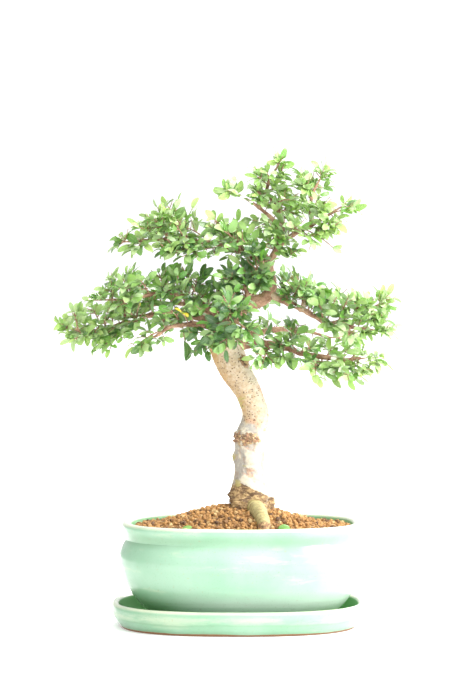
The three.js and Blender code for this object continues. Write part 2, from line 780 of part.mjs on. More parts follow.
function twigSolid(twig) {
  return sheetSolid(twigSheet(twig));
}

// Brings the foot of a spray to its branch's faceted surface, a clearance away.
function seatOn(wood, main) {
  for (let pass = 0; pass < 4; pass += 1) {
    const gap = twigSolid({ ...main, leaves: [], twigs: [] }).minGap(wood, 10);
    main.seat.shift.addScaledVector(main.seat.towards, gap - CLEARANCE);
  }
}

// Every spray as one solid. A leaf or side twig that would meet another piece is left off.
function spraySolids(wood) {
  const plans = SPRAYS.map(sprayPlan);
  plans.forEach((main) => seatOn(wood, main));
  const bare = (twig) => ({ ...twig, leaves: [], twigs: [] });
  const stems = plans.map((main) => twigSolid({ ...bare(main), twigs: main.twigs.map(bare) }));
  const solids = [];
  plans.forEach((main, index) => {
    const others = [wood, ...stems.slice(index + 1), ...solids];
    if (!isClear(stems[index], others)) throw new Error(`the stem of spray ${index + 1} meets another piece`);
    const blades = [];
    const all = [main, ...main.twigs].flatMap((twig) => twig.leaves.map((leaf) => ({ twig, leaf })));
    for (const { twig, leaf } of all.sort((a, b) => a.leaf.rank - b.leaf.rank)) {
      if (blades.length === SPRAY.mostLeaves) break;
      if (!hasRoom(twig, leaf)) continue;
      const guard = loneBlade(twig, leaf, CLEARANCE);
      if (!isClear(guard, others) || !isClear(guard, blades)) continue;
      leaf.kept = true;
      leaf.kept = foldsFreely(twigSheet(main));
      if (leaf.kept) blades.push(loneBlade(twig, leaf, 0));
    }
    solids.push(twigSolid(main));
  });
  return solids;
}

const bonsai = new THREE.Group();
const wood = tree();
const pockets = [-1, 1].map((side) => {
  const width = MESH.side + 2 * CLEARANCE;
  return block(width, width, 4, (side * DRAIN_HOLE.apart) / 2, 0, POT_FLOOR);
});
bonsai.add(
  piece("saucer", saucer(), "glaze"),
  piece("pot", pot(), "glaze"),
  piece("drain_mesh_left", drainMesh(-DRAIN_HOLE.apart / 2), "mesh"),
  piece("drain_mesh_right", drainMesh(DRAIN_HOLE.apart / 2), "mesh"),
  piece("soil", soil([trunkAndRoots(CLEARANCE), ...pockets]), "clay"),
  piece("tree", wood, "bark"),
);
spraySolids(wood).forEach((solid, index) => {
  const number = String(index + 1).padStart(2, "0");
  bonsai.add(piece(`spray_${number}`, solid, "leaf"));
});

export default bonsai;
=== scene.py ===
"""A Chinese elm bonsai in its oval glazed pot and drip saucer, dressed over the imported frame.

Tables and shape functions work in millimetres, in the frame's own axes: +X to the right along
the pot, +Y away from the viewer, +Z up. A mesh is written in metres, with its place in its points.
"""

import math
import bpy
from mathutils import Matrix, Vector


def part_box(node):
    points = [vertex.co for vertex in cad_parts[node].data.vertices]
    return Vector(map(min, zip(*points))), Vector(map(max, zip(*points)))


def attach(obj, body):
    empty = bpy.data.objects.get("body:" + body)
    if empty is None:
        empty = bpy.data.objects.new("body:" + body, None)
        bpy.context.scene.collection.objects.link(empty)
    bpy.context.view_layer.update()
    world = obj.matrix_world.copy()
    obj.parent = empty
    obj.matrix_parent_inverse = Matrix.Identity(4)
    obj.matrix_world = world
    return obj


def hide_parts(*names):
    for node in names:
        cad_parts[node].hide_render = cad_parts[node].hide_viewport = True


bl_info = {
    "name": "Chinese Elm Bonsai",
    "version": (1, 0, 0),
    "blender": (4, 5, 0),
    "location": "View3D > Sidebar > Bonsai",
    "description": "Grows the elm, its leaves and bark, and sets it in clay granules in a glazed pot",
    "category": "Object",
}

import bpy
import numpy as np

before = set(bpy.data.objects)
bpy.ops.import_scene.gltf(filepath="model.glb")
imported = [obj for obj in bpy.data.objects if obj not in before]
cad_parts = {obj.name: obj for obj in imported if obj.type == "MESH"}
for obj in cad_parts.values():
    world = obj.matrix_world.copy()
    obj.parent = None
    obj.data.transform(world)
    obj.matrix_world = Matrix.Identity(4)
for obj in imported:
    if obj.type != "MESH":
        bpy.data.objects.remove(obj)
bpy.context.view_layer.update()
POT_LOW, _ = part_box("pot")
MM = 0.001

# Measures of the pot and the saucer

OVAL_SHORTER = 23.5  # how much shorter the half width of an oval is than its half length
OVAL_FROM = 60.0  # half length below which an oval keeps its proportions instead
OVAL_POWER = 2.5
SAUCER_SHIFT = -3.0  # the saucer stands a little to the left of the pot
SAUCER_SPACING, SAUCER_SIDES = 1.6, 160  # distance between its mesh's rings, points in a ring
POT_SPACING, POT_SIDES = 1.5, 176

# Profiles as [half length along X, height], one row for each run between two crisp edges.
SAUCER_RUNS = (
    ((0, 0), (60, 0), (96.2, 0)),
    ((96.2, 0), (97, 0.3), (98.6, 2.4), (101.6, 6.6), (103, 8.4), (104.1, 10.2), (105, 13.8), (104.7, 18)),
    ((104.7, 18), (103.9, 19.9), (102.3, 20.4), (100.6, 20.1), (99.3, 18.6)),
    ((99.3, 18.6), (97.4, 13.2), (94.8, 7.4), (92.5, 4.9), (89, 4)),
    ((89, 4), (60, 4), (0, 4)),
)
POT_RUNS = (
    ((0, 8), (30, 8), (62, 8)),
    ((62, 8), (65, 7.6), (66, 6.4), (66.2, 4.6)),
    ((66.2, 4.6), (67, 4.35), (69.8, 4.35), (70.5, 4.7)),
    ((70.5, 4.7), (70.9, 7), (72, 9.8), (77.6, 12.6), (87, 21.5), (96.6, 36.5), (102.5, 53.5)),
    ((102.5, 53.5), (102.4, 58.5), (101.2, 63.2), (98.9, 68.5), (96.6, 72.7)),
    ((96.6, 72.7), (97.1, 75.2), (98.3, 78.3), (99.3, 81), (99.6, 83.6)),
    ((99.6, 83.6), (98.6, 85.9), (95.9, 86.6), (93.2, 86), (91.9, 84.2)),
    ((91.9, 84.2), (90.6, 76), (96.2, 59), (92.5, 41), (81, 22.5), (72, 15.4), (66, 14)),
    ((66, 14), (40, 14), (0, 14)),
)
FOOT_NOTCH = (60.0, 7.0, 7.35)  # where a notch in the foot starts along X, its half width, its height
DRAIN_HOLES = (7.0, 38.0, 11.0)  # radius, distance along X, height of the middle of the pot's floor
DRILL_REACH = 12.0  # how far a drill stands out to both sides of the floor's middle

# Bands of glaze in metres, each as (height of its middle, reach, how much at the left end, how much from the
# middle of the pot to the right). A thin band ends with how much is left in its gaps. The deeper bands are
# glaze that pools and also painted shade: they are deeper at the left end, where less light falls, and the
# pot's bands that are only at the left paint the shade of that side. The band of painted light is a paler
# glaze painted on the pot's lower front and right. inside holds the height below which the glaze pools
# inside, and how much in the middle and at the ends; this darker inside is also painted shade, most at the
# saucer's ends beside the pot.
SAUCER_GLAZE = {
    "thin": ((0.0198, 0.0024, 0.85, 0.9, 0.7), (0.0135, 0.0055, 0.4, 0.35, 0.0)),
    # The deeper bands are darker at the left end: painted shade over glaze that pools.
    "pooled_and_shaded": ((0.0095, 0.0016, 0.3, 0.2), (0.0025, 0.003, 0.35, 0.15), (0.01, 0.025, 0.34, 0.14)),
    "painted_light": (),
    # The inside is darker, most at the ends beside the pot: painted shade over glaze that pools.
    "inside": (0.0194, 0.2, 0.95),
    "foot_top": 0.0019,
    "coat": 0.03,
}
POT_GLAZE = {
    "thin": ((0.0858, 0.0022, 0.8, 0.9, 0.7),),
    "pooled_and_shaded": (
        # Under the lip, a thin line just above the saucer's rim, the low left and the whole left side:
        # painted shade, with glaze that pools under the lip.
        (0.076, 0.009, 0.5, 0.35), (0.0245, 0.0016, 0.2, 0.4), (0.016, 0.03, 0.85, 0.0),
        (0.055, 0.05, 0.22, 0.0),
    ),
    # Painted light: paler glaze low on the front and right, where light falls back from the saucer.
    "painted_light": ((0.018, 0.022, 0.0, 0.85),),
    # The strip inside the lip, above the soil, is darker: painted shade over glaze that pools.
    "inside": (0.0855, 0.3, 0.6),
    "foot_top": POT_LOW.z + 0.0014,
    "coat": 0.2,
}

# Measures of the soil

SOIL_EDGE, SOIL_PEAK = 82.2, 100.4
SOIL_MIDDLE = (-3.0, 0.0)
SOIL_REACH = (72.0, 52.0)
BED_BELOW = 1.6  # how far the bed's surface lies under the mound's
BED_SIDES = 120
GRANULE_LAYERS = (  # name, spacing as a share of the setting, lift as a share of the size, seed
    ("granules_lower", 1.0, -0.4, 21),
    ("granules_upper", 1.75, 0.12, 22),
)
GRANULES_WITHIN = 88.8  # half length of the oval that holds the loose granules
GRANULES_OFF_TRUNK = 14.5  # how far they keep from the middle of the trunk's foot
GRANULES_OFF_ROOT = 3.6  # how far they keep from the front root's middle line
BED_WALL = ((0, 14.35), (67.6, 14.35), (80.6, 22.8), (92.1, 41.3), (95.8, 59.3), (90.1, 76.3), (90.1, 80.4))
FALLEN_LEAVES = (  # x, y, turn in degrees, length, shade of green
    (-41.0, -41.0, 200.0, 8.0, 0.5),
    (29.0, -45.0, 12.0, 11.0, 0.44),
)
FALLEN_LIFT = 1.8  # how far their stalks lie above the mound
FALLEN_FACE = (0.0, -1.1, 1.0)  # the way they face

# Measures of the wood and the leaves

TRUNK_FOOT_X = 8.0
TRUNK_ROWS, TRUNK_SIDES = 400, 96
ROOT_ROWS, ROOT_SIDES = 80, 32
LIMB_SIDES = 16
TWIG_SIDES = 6
PLATES_FROM = (113.5, 117.5)  # the heights between which the ledged foot turns into plates
SKIN_FROM = (161.0, 176.0)  # the heights between which the plates turn into smooth skin
TRUNK = (  # x, y, z, radius
    (11, 0, 60, 8), (10, 0, 82, 14), (8.3, 0, 98, 17.5), (6.8, 0, 110, 14.6), (6.4, -1, 125, 12.6),
    (6.6, -2, 141.6, 12.3), (8, -2, 156.5, 12.3), (10.8, -1, 168, 11.3), (10.8, 0, 179, 10.7),
    (5.8, 1, 192, 11), (-0.8, 2, 203.8, 11.8), (-7.9, 3, 217, 13.2), (-13.3, 4, 228.7, 13),
    (-16.4, 5, 241, 12), (-15, 5, 252, 10.6), (-7.5, 4, 260.5, 8.6), (4.2, 2, 266.5, 6.8),
    (17.4, 0, 271, 5.6), (23.6, 0, 279, 5), (23.4, 0, 289, 4.7), (21.6, 0, 298, 4.4),
)
ROOTS = (
    ((8, -6, 100, 7), (11.5, -16, 98, 6.8), (14.5, -27, 95, 6), (16.8, -38, 90.5, 5.4),
     (18, -47, 84, 4.8), (18.5, -49, 73, 3)),
    ((4, 2, 98, 8), (-10, 6, 92, 6), (-26, 12, 84, 4.5), (-38, 16, 70, 2.5)),
    ((12, 3, 98, 8), (26, 6, 90, 6), (38, 10, 80, 4), (46, 14, 66, 2.5)),
)
KNOBS = (  # x, y, z, reach, height
    (-2, -9, 156.5, 8, 2.6), (-9, -5, 108, 8, 4.2), (19, -3, 106, 9, 2.5), (-1, -13, 220, 6, 2),
    (-1.5, -4, 181, 3, 0.9), (-6, -3, 140, 4, 1.8), (-3, -9, 117.5, 4, 1.2), (7, -13, 115, 4.5, 1),
)
BURLS = (  # x, y, z, reach of knobbly dark bark: the burl at the middle, knots, wounds and scabs
    (-2, -10, 157, 6.5), (5, -13.5, 156, 6), (11, -13, 154.5, 3.4), (17.6, -8, 162.3, 2.2),
    (1.7, -6, 219, 5.4), (-10.5, -3, 109, 3.6), (-12, 3, 231, 3), (15, 11, 150, 4),
    (-20, 2, 222, 3.4), (0, 12, 176, 4.5),
)
SHED = (  # x, y, z, reach, tint of bark under a shed plate: -1 olive to 1 pink
    (-0.6, -4, 187, 6, -0.9), (-4, 0, 178, 5, -0.8), (-6, -3, 140, 3.5, -1), (11, -11, 168, 5.5, 0.7),
    (6.5, -13, 126.5, 4.6, 1), (5, -11, 172, 4, 0.6), (4, -13, 147, 4, 0.7), (12, 10, 130, 7, 0.8),
    (-3, 11, 142, 6, -0.7), (17, 4, 140, 5, 0.6), (-3, -10, 119, 3.6, -0.7), (-19, 4, 216, 5, -0.6),
)
LIMBS = {  # radius at the start and at the end, then points
    "lowLeft": ((2.8, 0.9), (-16, 3, 248), (-34, -8, 250.5), (-48, -15, 250), (-60, -20, 248),
                (-68, -24, 242.5), (-79, -27, 236.5)),
    "farLeft": ((3.6, 0.8), (-16, 6, 249), (-38, 14, 256), (-62, 18, 259), (-86, 15, 255),
                (-106, 10, 248), (-124, 5, 244), (-142, 0, 246)),
    "upperLeft": ((3.2, 0.9), (-14, 4, 253), (-28, 0, 264), (-46, -7, 272.5), (-64, -11, 277),
                  (-90, -14, 271.5), (-110, -14, 270.5)),
    "backLeft": ((3.2, 0.9), (-15, 6, 250), (-28, 22, 260), (-46, 36, 266), (-68, 46, 266), (-86, 50, 262)),
    "front": ((3.4, 1), (-14, 2, 250), (-15, -18, 256), (-10, -34, 256), (-2, -44, 251)),
    "back": ((3.6, 1), (-8, 4, 260), (-2, 20, 268), (6, 36, 273), (14, 48, 270)),
    "crown": ((2.6, 1), (0, 3, 264), (4, -5, 274), (2, -12, 283)),
    "lowRight": ((4.6, 1.1), (-10, 4, 230), (8, 0, 234), (24, -4, 233), (38, -7, 230.5), (50, -9, 226),
                 (68, -10, 223), (84, -9, 221), (99, -7, 222)),
    "backRight": ((3.8, 1), (-8, 6, 234), (10, 20, 241), (32, 34, 245), (54, 43, 243), (74, 47, 238)),
    "midRight": ((3.1, 1), (22, 0, 276), (36, -4, 269), (47, -7, 264), (58, -10, 258), (72, -11, 251),
                 (88, -9, 256), (110, -4, 265)),
    "rightFork": ((1.8, 0.9), (80, -10, 252.5), (90, -16, 248), (107, -22, 246)),
    "midLeft": ((3.4, 1), (22, 0, 297), (15, 2, 301), (6, 4, 307.5), (-8, 6, 312.5), (-22, 6, 316.5),
                (-48, 0, 320), (-70, -3, 320), (-95, -4, 318.5)),
    "backMiddle": ((2.8, 1), (22, 2, 298), (19, 15, 308), (11, 28, 315), (0, 38, 317)),
    "topRight": ((3.2, 0.9), (21.6, 0, 297), (27.5, -1, 310), (34, -3, 318.5), (43, -5, 324.5),
                 (61, -6, 334), (80, -4, 346)),
    "leader": ((3, 0.8), (30, 0, 313), (33, 3, 326), (32.5, 4, 339), (27, 4, 350), (21, 3, 359),
               (23, 1, 370), (29, 0, 380)),
    "topLeft": ((1.9, 0.8), (33, 3, 330), (20, 1, 342), (8, -2, 351), (-4, -4, 358)),
    "upperRight": ((2, 0.8), (58, -6, 332), (57, -3, 344), (58, 0, 357), (64, 3, 369)),
    "topBack": ((1.9, 0.8), (33, 4, 334), (35, 14, 342), (38, 24, 349)),
    "stub": ((1.8, 1.4), (50, -8, 261.5), (51, -8, 268), (51.5, -8, 274)),
}

# Leafy sprays: the limb each grows from, how far along it, and where its last leaf ends. The
# first 54 stand for the CAD nodes spray_01 to spray_54, and the others fill the pads between.
SPRAYS = (
    ("lowLeft", 0.45, -62, -50, 268), ("lowLeft", 0.8, -98, -36, 226), ("farLeft", 0.28, -60, 44, 240),
    ("farLeft", 0.5, -92, 42, 272), ("farLeft", 0.64, -112, -24, 222), ("farLeft", 0.76, -130, 28, 272),
    ("farLeft", 0.88, -142, -26, 234), ("farLeft", 1, -160, -4, 252), ("upperLeft", 0.26, -36, -42, 260),
    ("upperLeft", 0.42, -42, -8, 304), ("upperLeft", 0.6, -72, 16, 300), ("upperLeft", 0.8, -102, -36, 296),
    ("upperLeft", 1, -132, -30, 270), ("backLeft", 0.55, -40, 66, 282), ("backLeft", 1, -114, 64, 258),
    ("front", 0.35, -46, -34, 220), ("front", 0.62, -14, -52, 220), ("front", 0.8, -20, -60, 284),
    ("front", 1, 16, -60, 238), ("back", 0.5, -22, 40, 298), ("back", 1, 30, 76, 264),
    ("crown", 1, -8, -24, 302), ("lowRight", 0.28, 14, -38, 212), ("lowRight", 0.46, 48, 18, 258),
    ("lowRight", 0.66, 60, -38, 202), ("lowRight", 0.84, 90, -40, 198), ("lowRight", 1, 128, -12, 216),
    ("backRight", 0.45, 26, 62, 240), ("backRight", 1, 104, 56, 244), ("midRight", 0.24, 50, -36, 290),
    ("midRight", 0.5, 68, 20, 286), ("midRight", 0.76, 90, -38, 280), ("midRight", 1, 130, 0, 282),
    ("rightFork", 0.5, 84, -46, 234), ("rightFork", 1, 132, -28, 248), ("midLeft", 0.2, -6, -28, 328),
    ("midLeft", 0.38, -18, 30, 340), ("midLeft", 0.52, -58, -32, 304), ("midLeft", 0.7, -68, 6, 358),
    ("midLeft", 0.84, -92, -30, 334), ("midLeft", 1, -110, 10, 316), ("backMiddle", 1, -18, 58, 316),
    ("topRight", 0.25, 48, -28, 304), ("topRight", 0.42, 12, -26, 334), ("topRight", 0.68, 66, -28, 312),
    ("topRight", 1, 104, -8, 344), ("leader", 0.3, 2, 30, 326), ("leader", 0.5, 46, -26, 354),
    ("leader", 0.78, 4, -10, 378), ("leader", 1, 36, -2, 397), ("topLeft", 1, -24, -8, 364),
    ("upperRight", 0.45, 80, 14, 348), ("upperRight", 1, 72, 4, 390), ("topBack", 1, 38, 52, 360),
)
FILLING = (
    ("lowLeft", 0.62, -72, -12, 266), ("lowLeft", 0.3, -50, -34, 268), ("farLeft", 0.42, -78, -8, 280),
    ("farLeft", 0.6, -104, -18, 236), ("farLeft", 0.95, -142, 14, 270), ("farLeft", 0.2, -36, 20, 232),
    ("upperLeft", 0.36, -30, 8, 300), ("upperLeft", 0.5, -52, -28, 300), ("upperLeft", 0.7, -88, -34, 294),
    ("upperLeft", 0.88, -92, -44, 260), ("backLeft", 0.75, -72, 34, 290), ("backLeft", 0.35, -20, 52, 262),
    ("front", 0.5, -26, -46, 232), ("front", 0.9, 6, -40, 276), ("front", 0.7, -4, -58, 262),
    ("crown", 0.6, 26, -30, 290), ("back", 0.75, 32, 36, 290), ("back", 0.3, -16, 32, 246),
    ("lowRight", 0.36, 40, -30, 236), ("lowRight", 0.55, 62, -36, 232), ("lowRight", 0.74, 76, 22, 234),
    ("lowRight", 0.92, 106, 20, 230), ("lowRight", 0.4, 30, -24, 212), ("backRight", 0.7, 30, 40, 244),
    ("midRight", 0.36, 46, 22, 298), ("midRight", 0.64, 84, 8, 284), ("midRight", 0.88, 100, -30, 276),
    ("midRight", 0.94, 116, -20, 246), ("midRight", 0.6, 62, -34, 274), ("topRight", 0.36, 32, -30, 326),
    ("topRight", 0.58, 48, -32, 336), ("topRight", 0.85, 86, -24, 328), ("upperRight", 0.25, 74, -22, 350),
    ("upperRight", 0.7, 42, -16, 368), ("upperRight", 0.85, 50, 14, 374), ("leader", 0.64, 4, -18, 360),
    ("leader", 0.7, 44, 16, 366), ("leader", 0.4, 54, 20, 338), ("upperRight", 0.6, 42, -16, 382),
    ("topBack", 0.6, 62, 28, 350), ("midLeft", 0.1, 2, -24, 320), ("crown", 0.85, 20, -32, 312),
    ("midLeft", 0.62, -64, -28, 306), ("midLeft", 0.6, -62, 22, 338), ("midLeft", 0.76, -84, 26, 332),
    ("midLeft", 0.8, -78, -30, 344), ("midLeft", 0.93, -90, -28, 306), ("backMiddle", 0.6, 42, 36, 320),
    ("leader", 0.86, 44, -8, 380), ("midLeft", 0.72, -70, -14, 352), ("midLeft", 0.34, -22, -22, 334),
    ("midLeft", 0.44, -36, -16, 339), ("midLeft", 0.62, -58, -30, 314), ("midLeft", 0.68, -76, -26, 310),
    ("midLeft", 0.74, -66, -24, 302), ("crown", 0.8, -24, -30, 294), ("crown", 0.4, -24, -22, 278),
    ("upperLeft", 0.1, -20, -20, 290), ("crown", 0.9, 24, -36, 284), ("crown", 0.7, 14, -34, 298),
    ("midRight", 0.12, 36, -22, 298), ("midRight", 0.2, 32, -26, 282), ("midRight", 0.44, 58, -14, 290),
    ("farLeft", 0.6, -92, -22, 300), ("farLeft", 0.58, -100, 12, 288), ("farLeft", 0.74, -114, -24, 258),
    ("farLeft", 0.82, -128, -20, 236), ("farLeft", 0.36, -62, -16, 254), ("farLeft", 0.5, -88, -20, 250),
    ("midRight", 0.92, 114, -18, 244), ("rightFork", 0.8, 110, -26, 240), ("midRight", 0.68, 66, -22, 244),
    ("topRight", 0.76, 82, -16, 326), ("lowRight", 0.7, 68, -22, 202), ("lowRight", 0.8, 80, -28, 200),
    ("lowRight", 0.96, 98, -26, 203), ("upperLeft", 0.56, -66, -34, 276), ("upperLeft", 0.3, -40, -34, 276),
    ("midLeft", 0.8, -74, -6, 358), ("topLeft", 0.5, 10, -16, 370), ("farLeft", 0.68, -108, -18, 298),
    ("crown", 0.95, 30, -32, 306), ("midRight", 0.36, 54, -20, 297), ("midRight", 1.0, 112, -18, 237),
    ("farLeft", 0.95, -134, -14, 239), ("farLeft", 0.78, -124, 8, 233), ("farLeft", 0.8, -106, -14, 236),
    ("lowLeft", 0.3, 6, -38, 232), ("midRight", 0.94, 100, -12, 280),
)
# Single shoots that stand out: limb, place along it, where the last leaf ends, how many leaves, their
# length, how young and how yellow.
SHOOTS = (
    ("lowLeft", 0.42, -45, -36, 222, 1, 19.0, 0.0, 0.0), ("topRight", 0.9, 103, -18, 348, 2, 13.0, 0.1, 0.0),
    ("lowLeft", 0.34, -50, -64, 262, 3, 9.5, 0.1, 1.0), ("farLeft", 0.52, -83, -50, 268, 1, 6.0, 0.1, 1.0),
    ("midRight", 0.16, 49, -30, 284, 2, 18.0, 0.35, 0.0), ("lowRight", 0.72, 80, -30, 199, 2, 14.0, 0.4, 0.0),
    ("lowRight", 0.62, 64, -34, 198, 2, 13.0, 0.4, 0.0), ("farLeft", 0.36, -44, -30, 286, 2, 17.0, 0.0, 0.0),
    ("farLeft", 1.0, -158, -16, 254, 3, 11.0, 0.6, 0.0), ("topRight", 0.7, 82, -16, 309, 2, 9.0, 0.1, 0.0),
    ("lowRight", 0.2, 10, -34, 214, 2, 15.0, 0.2, 0.0), ("midLeft", 0.3, -30, -14, 344, 2, 11.0, 0.7, 0.0),
)
SHOOT_FACE = np.array((0.15, -0.8, 0.58))  # the way their leaves face
SIDE_TWIGS = ((0.24, 0.6), (0.46, 0.5), (0.68, 0.36))  # where each leaves the twig, its length
TWIG_WIDTH = (1.5, 1.0, 1.1)  # foot and tip of a main twig, and a side twig
CANOPY_MIDDLE = np.array((-5.0, 4.0, 0.0))
CLEARANCE = 0.35  # how far off its limb a main twig starts
LAST_LEAF = 12.0  # how far the last leaf reaches beyond a main twig
LEAF_PITCH = 5.4  # distance between leaves along a twig
LEAF_LEAST, LEAF_MORE, LEAF_SCALE = 10.5, 7.0, 0.88  # least length, span of lengths, factor on both
TUFT_PITCH = 8.0  # distance between short shoots along a limb

# Where each run of random draws starts. The number of the root, limb or spray is added, times the
# step where there is one.
ROOT_SEED, ROOT_SEED_STEP = 40, 3
LIMB_SEED, LIMB_SEED_STEP = 60, 2
SPRAY_SEED, SPRAY_SEED_STEP = 100, 7919
BLADE_SEED = 200
TONE_SEED = 300
FALLEN_SEED = 401
SPUR_SEED = 500
SMALL_LEAF_SEED = 700
TUFT_SEED = 900
SHOOT_SEED = 1000


def unit(vectors):
    """Vectors scaled to length 1."""
    return vectors / np.linalg.norm(vectors, axis=-1, keepdims=True)


def smooth_path(points, share):
    """Points at shares 0 to 1 of the Catmull-Rom curve through points. Each end is mirrored past itself."""
    points = np.asarray(points, float)
    row = np.vstack([2 * points[0] - points[1], points, 2 * points[-1] - points[-2]])
    place = np.clip(share, 0, 1) * (len(points) - 1)
    span = np.minimum(place.astype(int), len(points) - 2)
    u = (place - span)[:, None]
    a, b, c, d = (row[span + k] for k in range(4))
    return 0.5 * (
        2 * b + (c - a) * u + (2 * a - 5 * b + 4 * c - d) * u**2 + (3 * b - a - 3 * c + d) * u**3
    )


def heading(path, share):
    """Unit direction of a path at each share: from the point just before it to the one just after."""
    step = 1e-4
    return unit(path(np.minimum(share + step, 1)) - path(np.maximum(share - step, 0)))


def ripple(points, pitch, seed):
    """Smooth lumps, mostly from -1 to 1 and about pitch apart: twice the mean of nine sine waves that
    cross in random directions."""
    rng = np.random.default_rng(seed)
    waves = 9
    ways = unit(rng.normal(size=(waves, 3))) * rng.uniform(0.7, 1.5, (waves, 1)) * 2 * np.pi / pitch
    return np.sin(points @ ways.T + rng.uniform(0, 6.28, waves)).sum(-1) / (waves / 2)


def swell(points, centre, reach):
    """A bell round a point: e to the minus of the squared distance over the squared reach."""
    return np.exp(-((points - np.asarray(centre)) ** 2).sum(-1) / reach**2)


def climb(value, low, high):
    """0 below low, 1 above high, and a smooth S between them."""
    t = np.clip((value - low) / (high - low), 0, 1)
    return t * t * (3 - 2 * t)


def rings_round(centres, radii, sides):
    """Rings of points round a row of centres. A ring lies across the row's direction at its centre,
    and each of its points stands radius times cosine along one side vector and sine along the other."""
    ahead = unit(np.gradient(centres, axis=0))
    rest = np.eye(3)[np.abs(ahead).max(0).argmin()]
    right = unit(np.cross(ahead, rest))
    front = np.cross(ahead, right)
    angle = 2 * np.pi * np.arange(sides) / sides
    out = right[:, None] * np.cos(angle)[:, None] + front[:, None] * np.sin(angle)[:, None]
    return centres[:, None] + np.broadcast_to(radii, out.shape[:2])[..., None] * out, out


class Skin:
    """Closed tubes gathered into one mesh: their points, faces, and a value and a map for each."""

    def __init__(self):
        self.points, self.quads, self.tris, self.values, self.maps = [], [], [], [], []
        self.count = 0

    def add(self, rings, ends, values=None, face_map=None):
        """Adds tubes. rings is (tubes, rows, sides, 3) and ends is (tubes, 2, 3): each ring joins
        the next one with a band of quads, and the first and last close on their end point. values
        holds one row for each tube, or for a single tube one row for each point of its rings."""
        tubes, rows, sides = rings.shape[:3]
        at = np.arange(rows * sides).reshape(rows, sides)
        beside = np.roll(at, -1, axis=1)
        quads = np.stack([at[:-1], beside[:-1], beside[1:], at[1:]], -1).reshape(-1, 4)
        first, last = rows * sides, rows * sides + 1
        tris = np.concatenate(
            [
                np.stack([np.full(sides, first), beside[0], at[0]], -1),
                np.stack([np.full(sides, last), at[-1], beside[-1]], -1),
            ]
        )
        points = np.concatenate([rings.reshape(tubes, -1, 3), ends], axis=1)
        shift = self.count + np.arange(tubes)[:, None, None] * points.shape[1]
        self.points.append(points.reshape(-1, 3))
        self.quads.append((quads + shift).reshape(-1, 4))
        self.tris.append((tris + shift).reshape(-1, 3))
        self.count += tubes * points.shape[1]
        if values is not None and len(values) == tubes:
            self.values.append(np.repeat(values, points.shape[1], axis=0))
        elif values is not None:
            self.values.append(np.vstack([values, values[[0, -1]]]))
        if face_map is not None:
            self.maps.append([np.tile(m, (tubes, 1)) for m in face_map(rows)])

    def piece(self, name, crease=40):
        """Writes the gathered mesh in metres as one object, smooth but for edges that turn by more than
        crease, in degrees."""
        points = np.concatenate(self.points) * MM
        quads, tris = np.concatenate(self.quads), np.concatenate(self.tris)
        corners = np.concatenate([quads.ravel(), tris.ravel()])
        starts = np.concatenate([4 * np.arange(len(quads)), quads.size + 3 * np.arange(len(tris))])
        mesh = bpy.data.meshes.new(name)
        mesh.vertices.add(len(points))
        mesh.vertices.foreach_set("co", points.astype(np.float32).ravel())
        mesh.loops.add(len(corners))
        mesh.loops.foreach_set("vertex_index", corners.astype(np.int32))
        mesh.polygons.add(len(starts))
        mesh.polygons.foreach_set("loop_start", starts.astype(np.int32))
        mesh.update(calc_edges=True)
        if self.values:
            tone = mesh.attributes.new("tone", "FLOAT_VECTOR", "POINT")
            tone.data.foreach_set("vector", np.concatenate(self.values).astype(np.float32).ravel())
        if self.maps:
            uv = np.concatenate([m[0] for m in self.maps] + [m[1] for m in self.maps])
            mesh.uv_layers.new(name="blade").data.foreach_set("uv", uv.astype(np.float32).ravel())
        mesh.validate()
        mesh.shade_smooth()
        mesh.set_sharp_from_angle(angle=math.radians(crease))
        made = bpy.data.objects.new(name, mesh)
        bpy.context.scene.collection.objects.link(made)
        return made


def settle(piece, material, nodes=()):
    """Gives a piece its material and its body, and hides the CAD nodes that it stands for."""
    piece.data.materials.append(material)
    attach(piece, "root")
    if nodes:
        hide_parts(*nodes)
    return piece


# Shapes of the pot and the saucer


def oval_reach(half_length, angle):
    """Distance from the centre to a rounded oval: the power mean of the cosine over its half length
    and the sine over its half width."""
    narrow = half_length * (OVAL_FROM - OVAL_SHORTER) / OVAL_FROM
    half_width = np.where(half_length > OVAL_FROM, half_length - OVAL_SHORTER, narrow)
    along = np.abs(np.cos(angle) / half_length) ** OVAL_POWER
    across = np.abs(np.sin(angle) / half_width) ** OVAL_POWER
    return (along + across) ** (-1 / OVAL_POWER)


def profile_of(runs, spacing):
    """A profile's points, every spacing along: each run is a smooth path of its own, so that the
    profile keeps an edge where two runs meet."""
    rows = []
    for run in runs:
        length = np.linalg.norm(np.diff(np.asarray(run, float), axis=0), axis=1).sum()
        rows.append(smooth_path(run, np.linspace(0, 1, max(3, round(length / spacing)) + 1))[1:])
    return np.vstack([np.asarray(runs[0][0], float)[None], *rows])


def oval_shell(profile, sides, shift=0.0):
    """A profile carried round an oval: at each angle a point of it stands at the oval's reach for its
    half length. The profile starts and ends on the axis, where the shell closes."""
    angle = 2 * np.pi * np.arange(sides) / sides
    reach = oval_reach(profile[1:-1, :1], angle[None])
    high = np.broadcast_to(profile[1:-1, 1:], reach.shape)
    rings = np.stack([reach * np.cos(angle) + shift, reach * np.sin(angle), high], -1)
    ends = np.array([[shift, 0, profile[0, 1]], [shift, 0, profile[-1, 1]]])
    return rings, ends


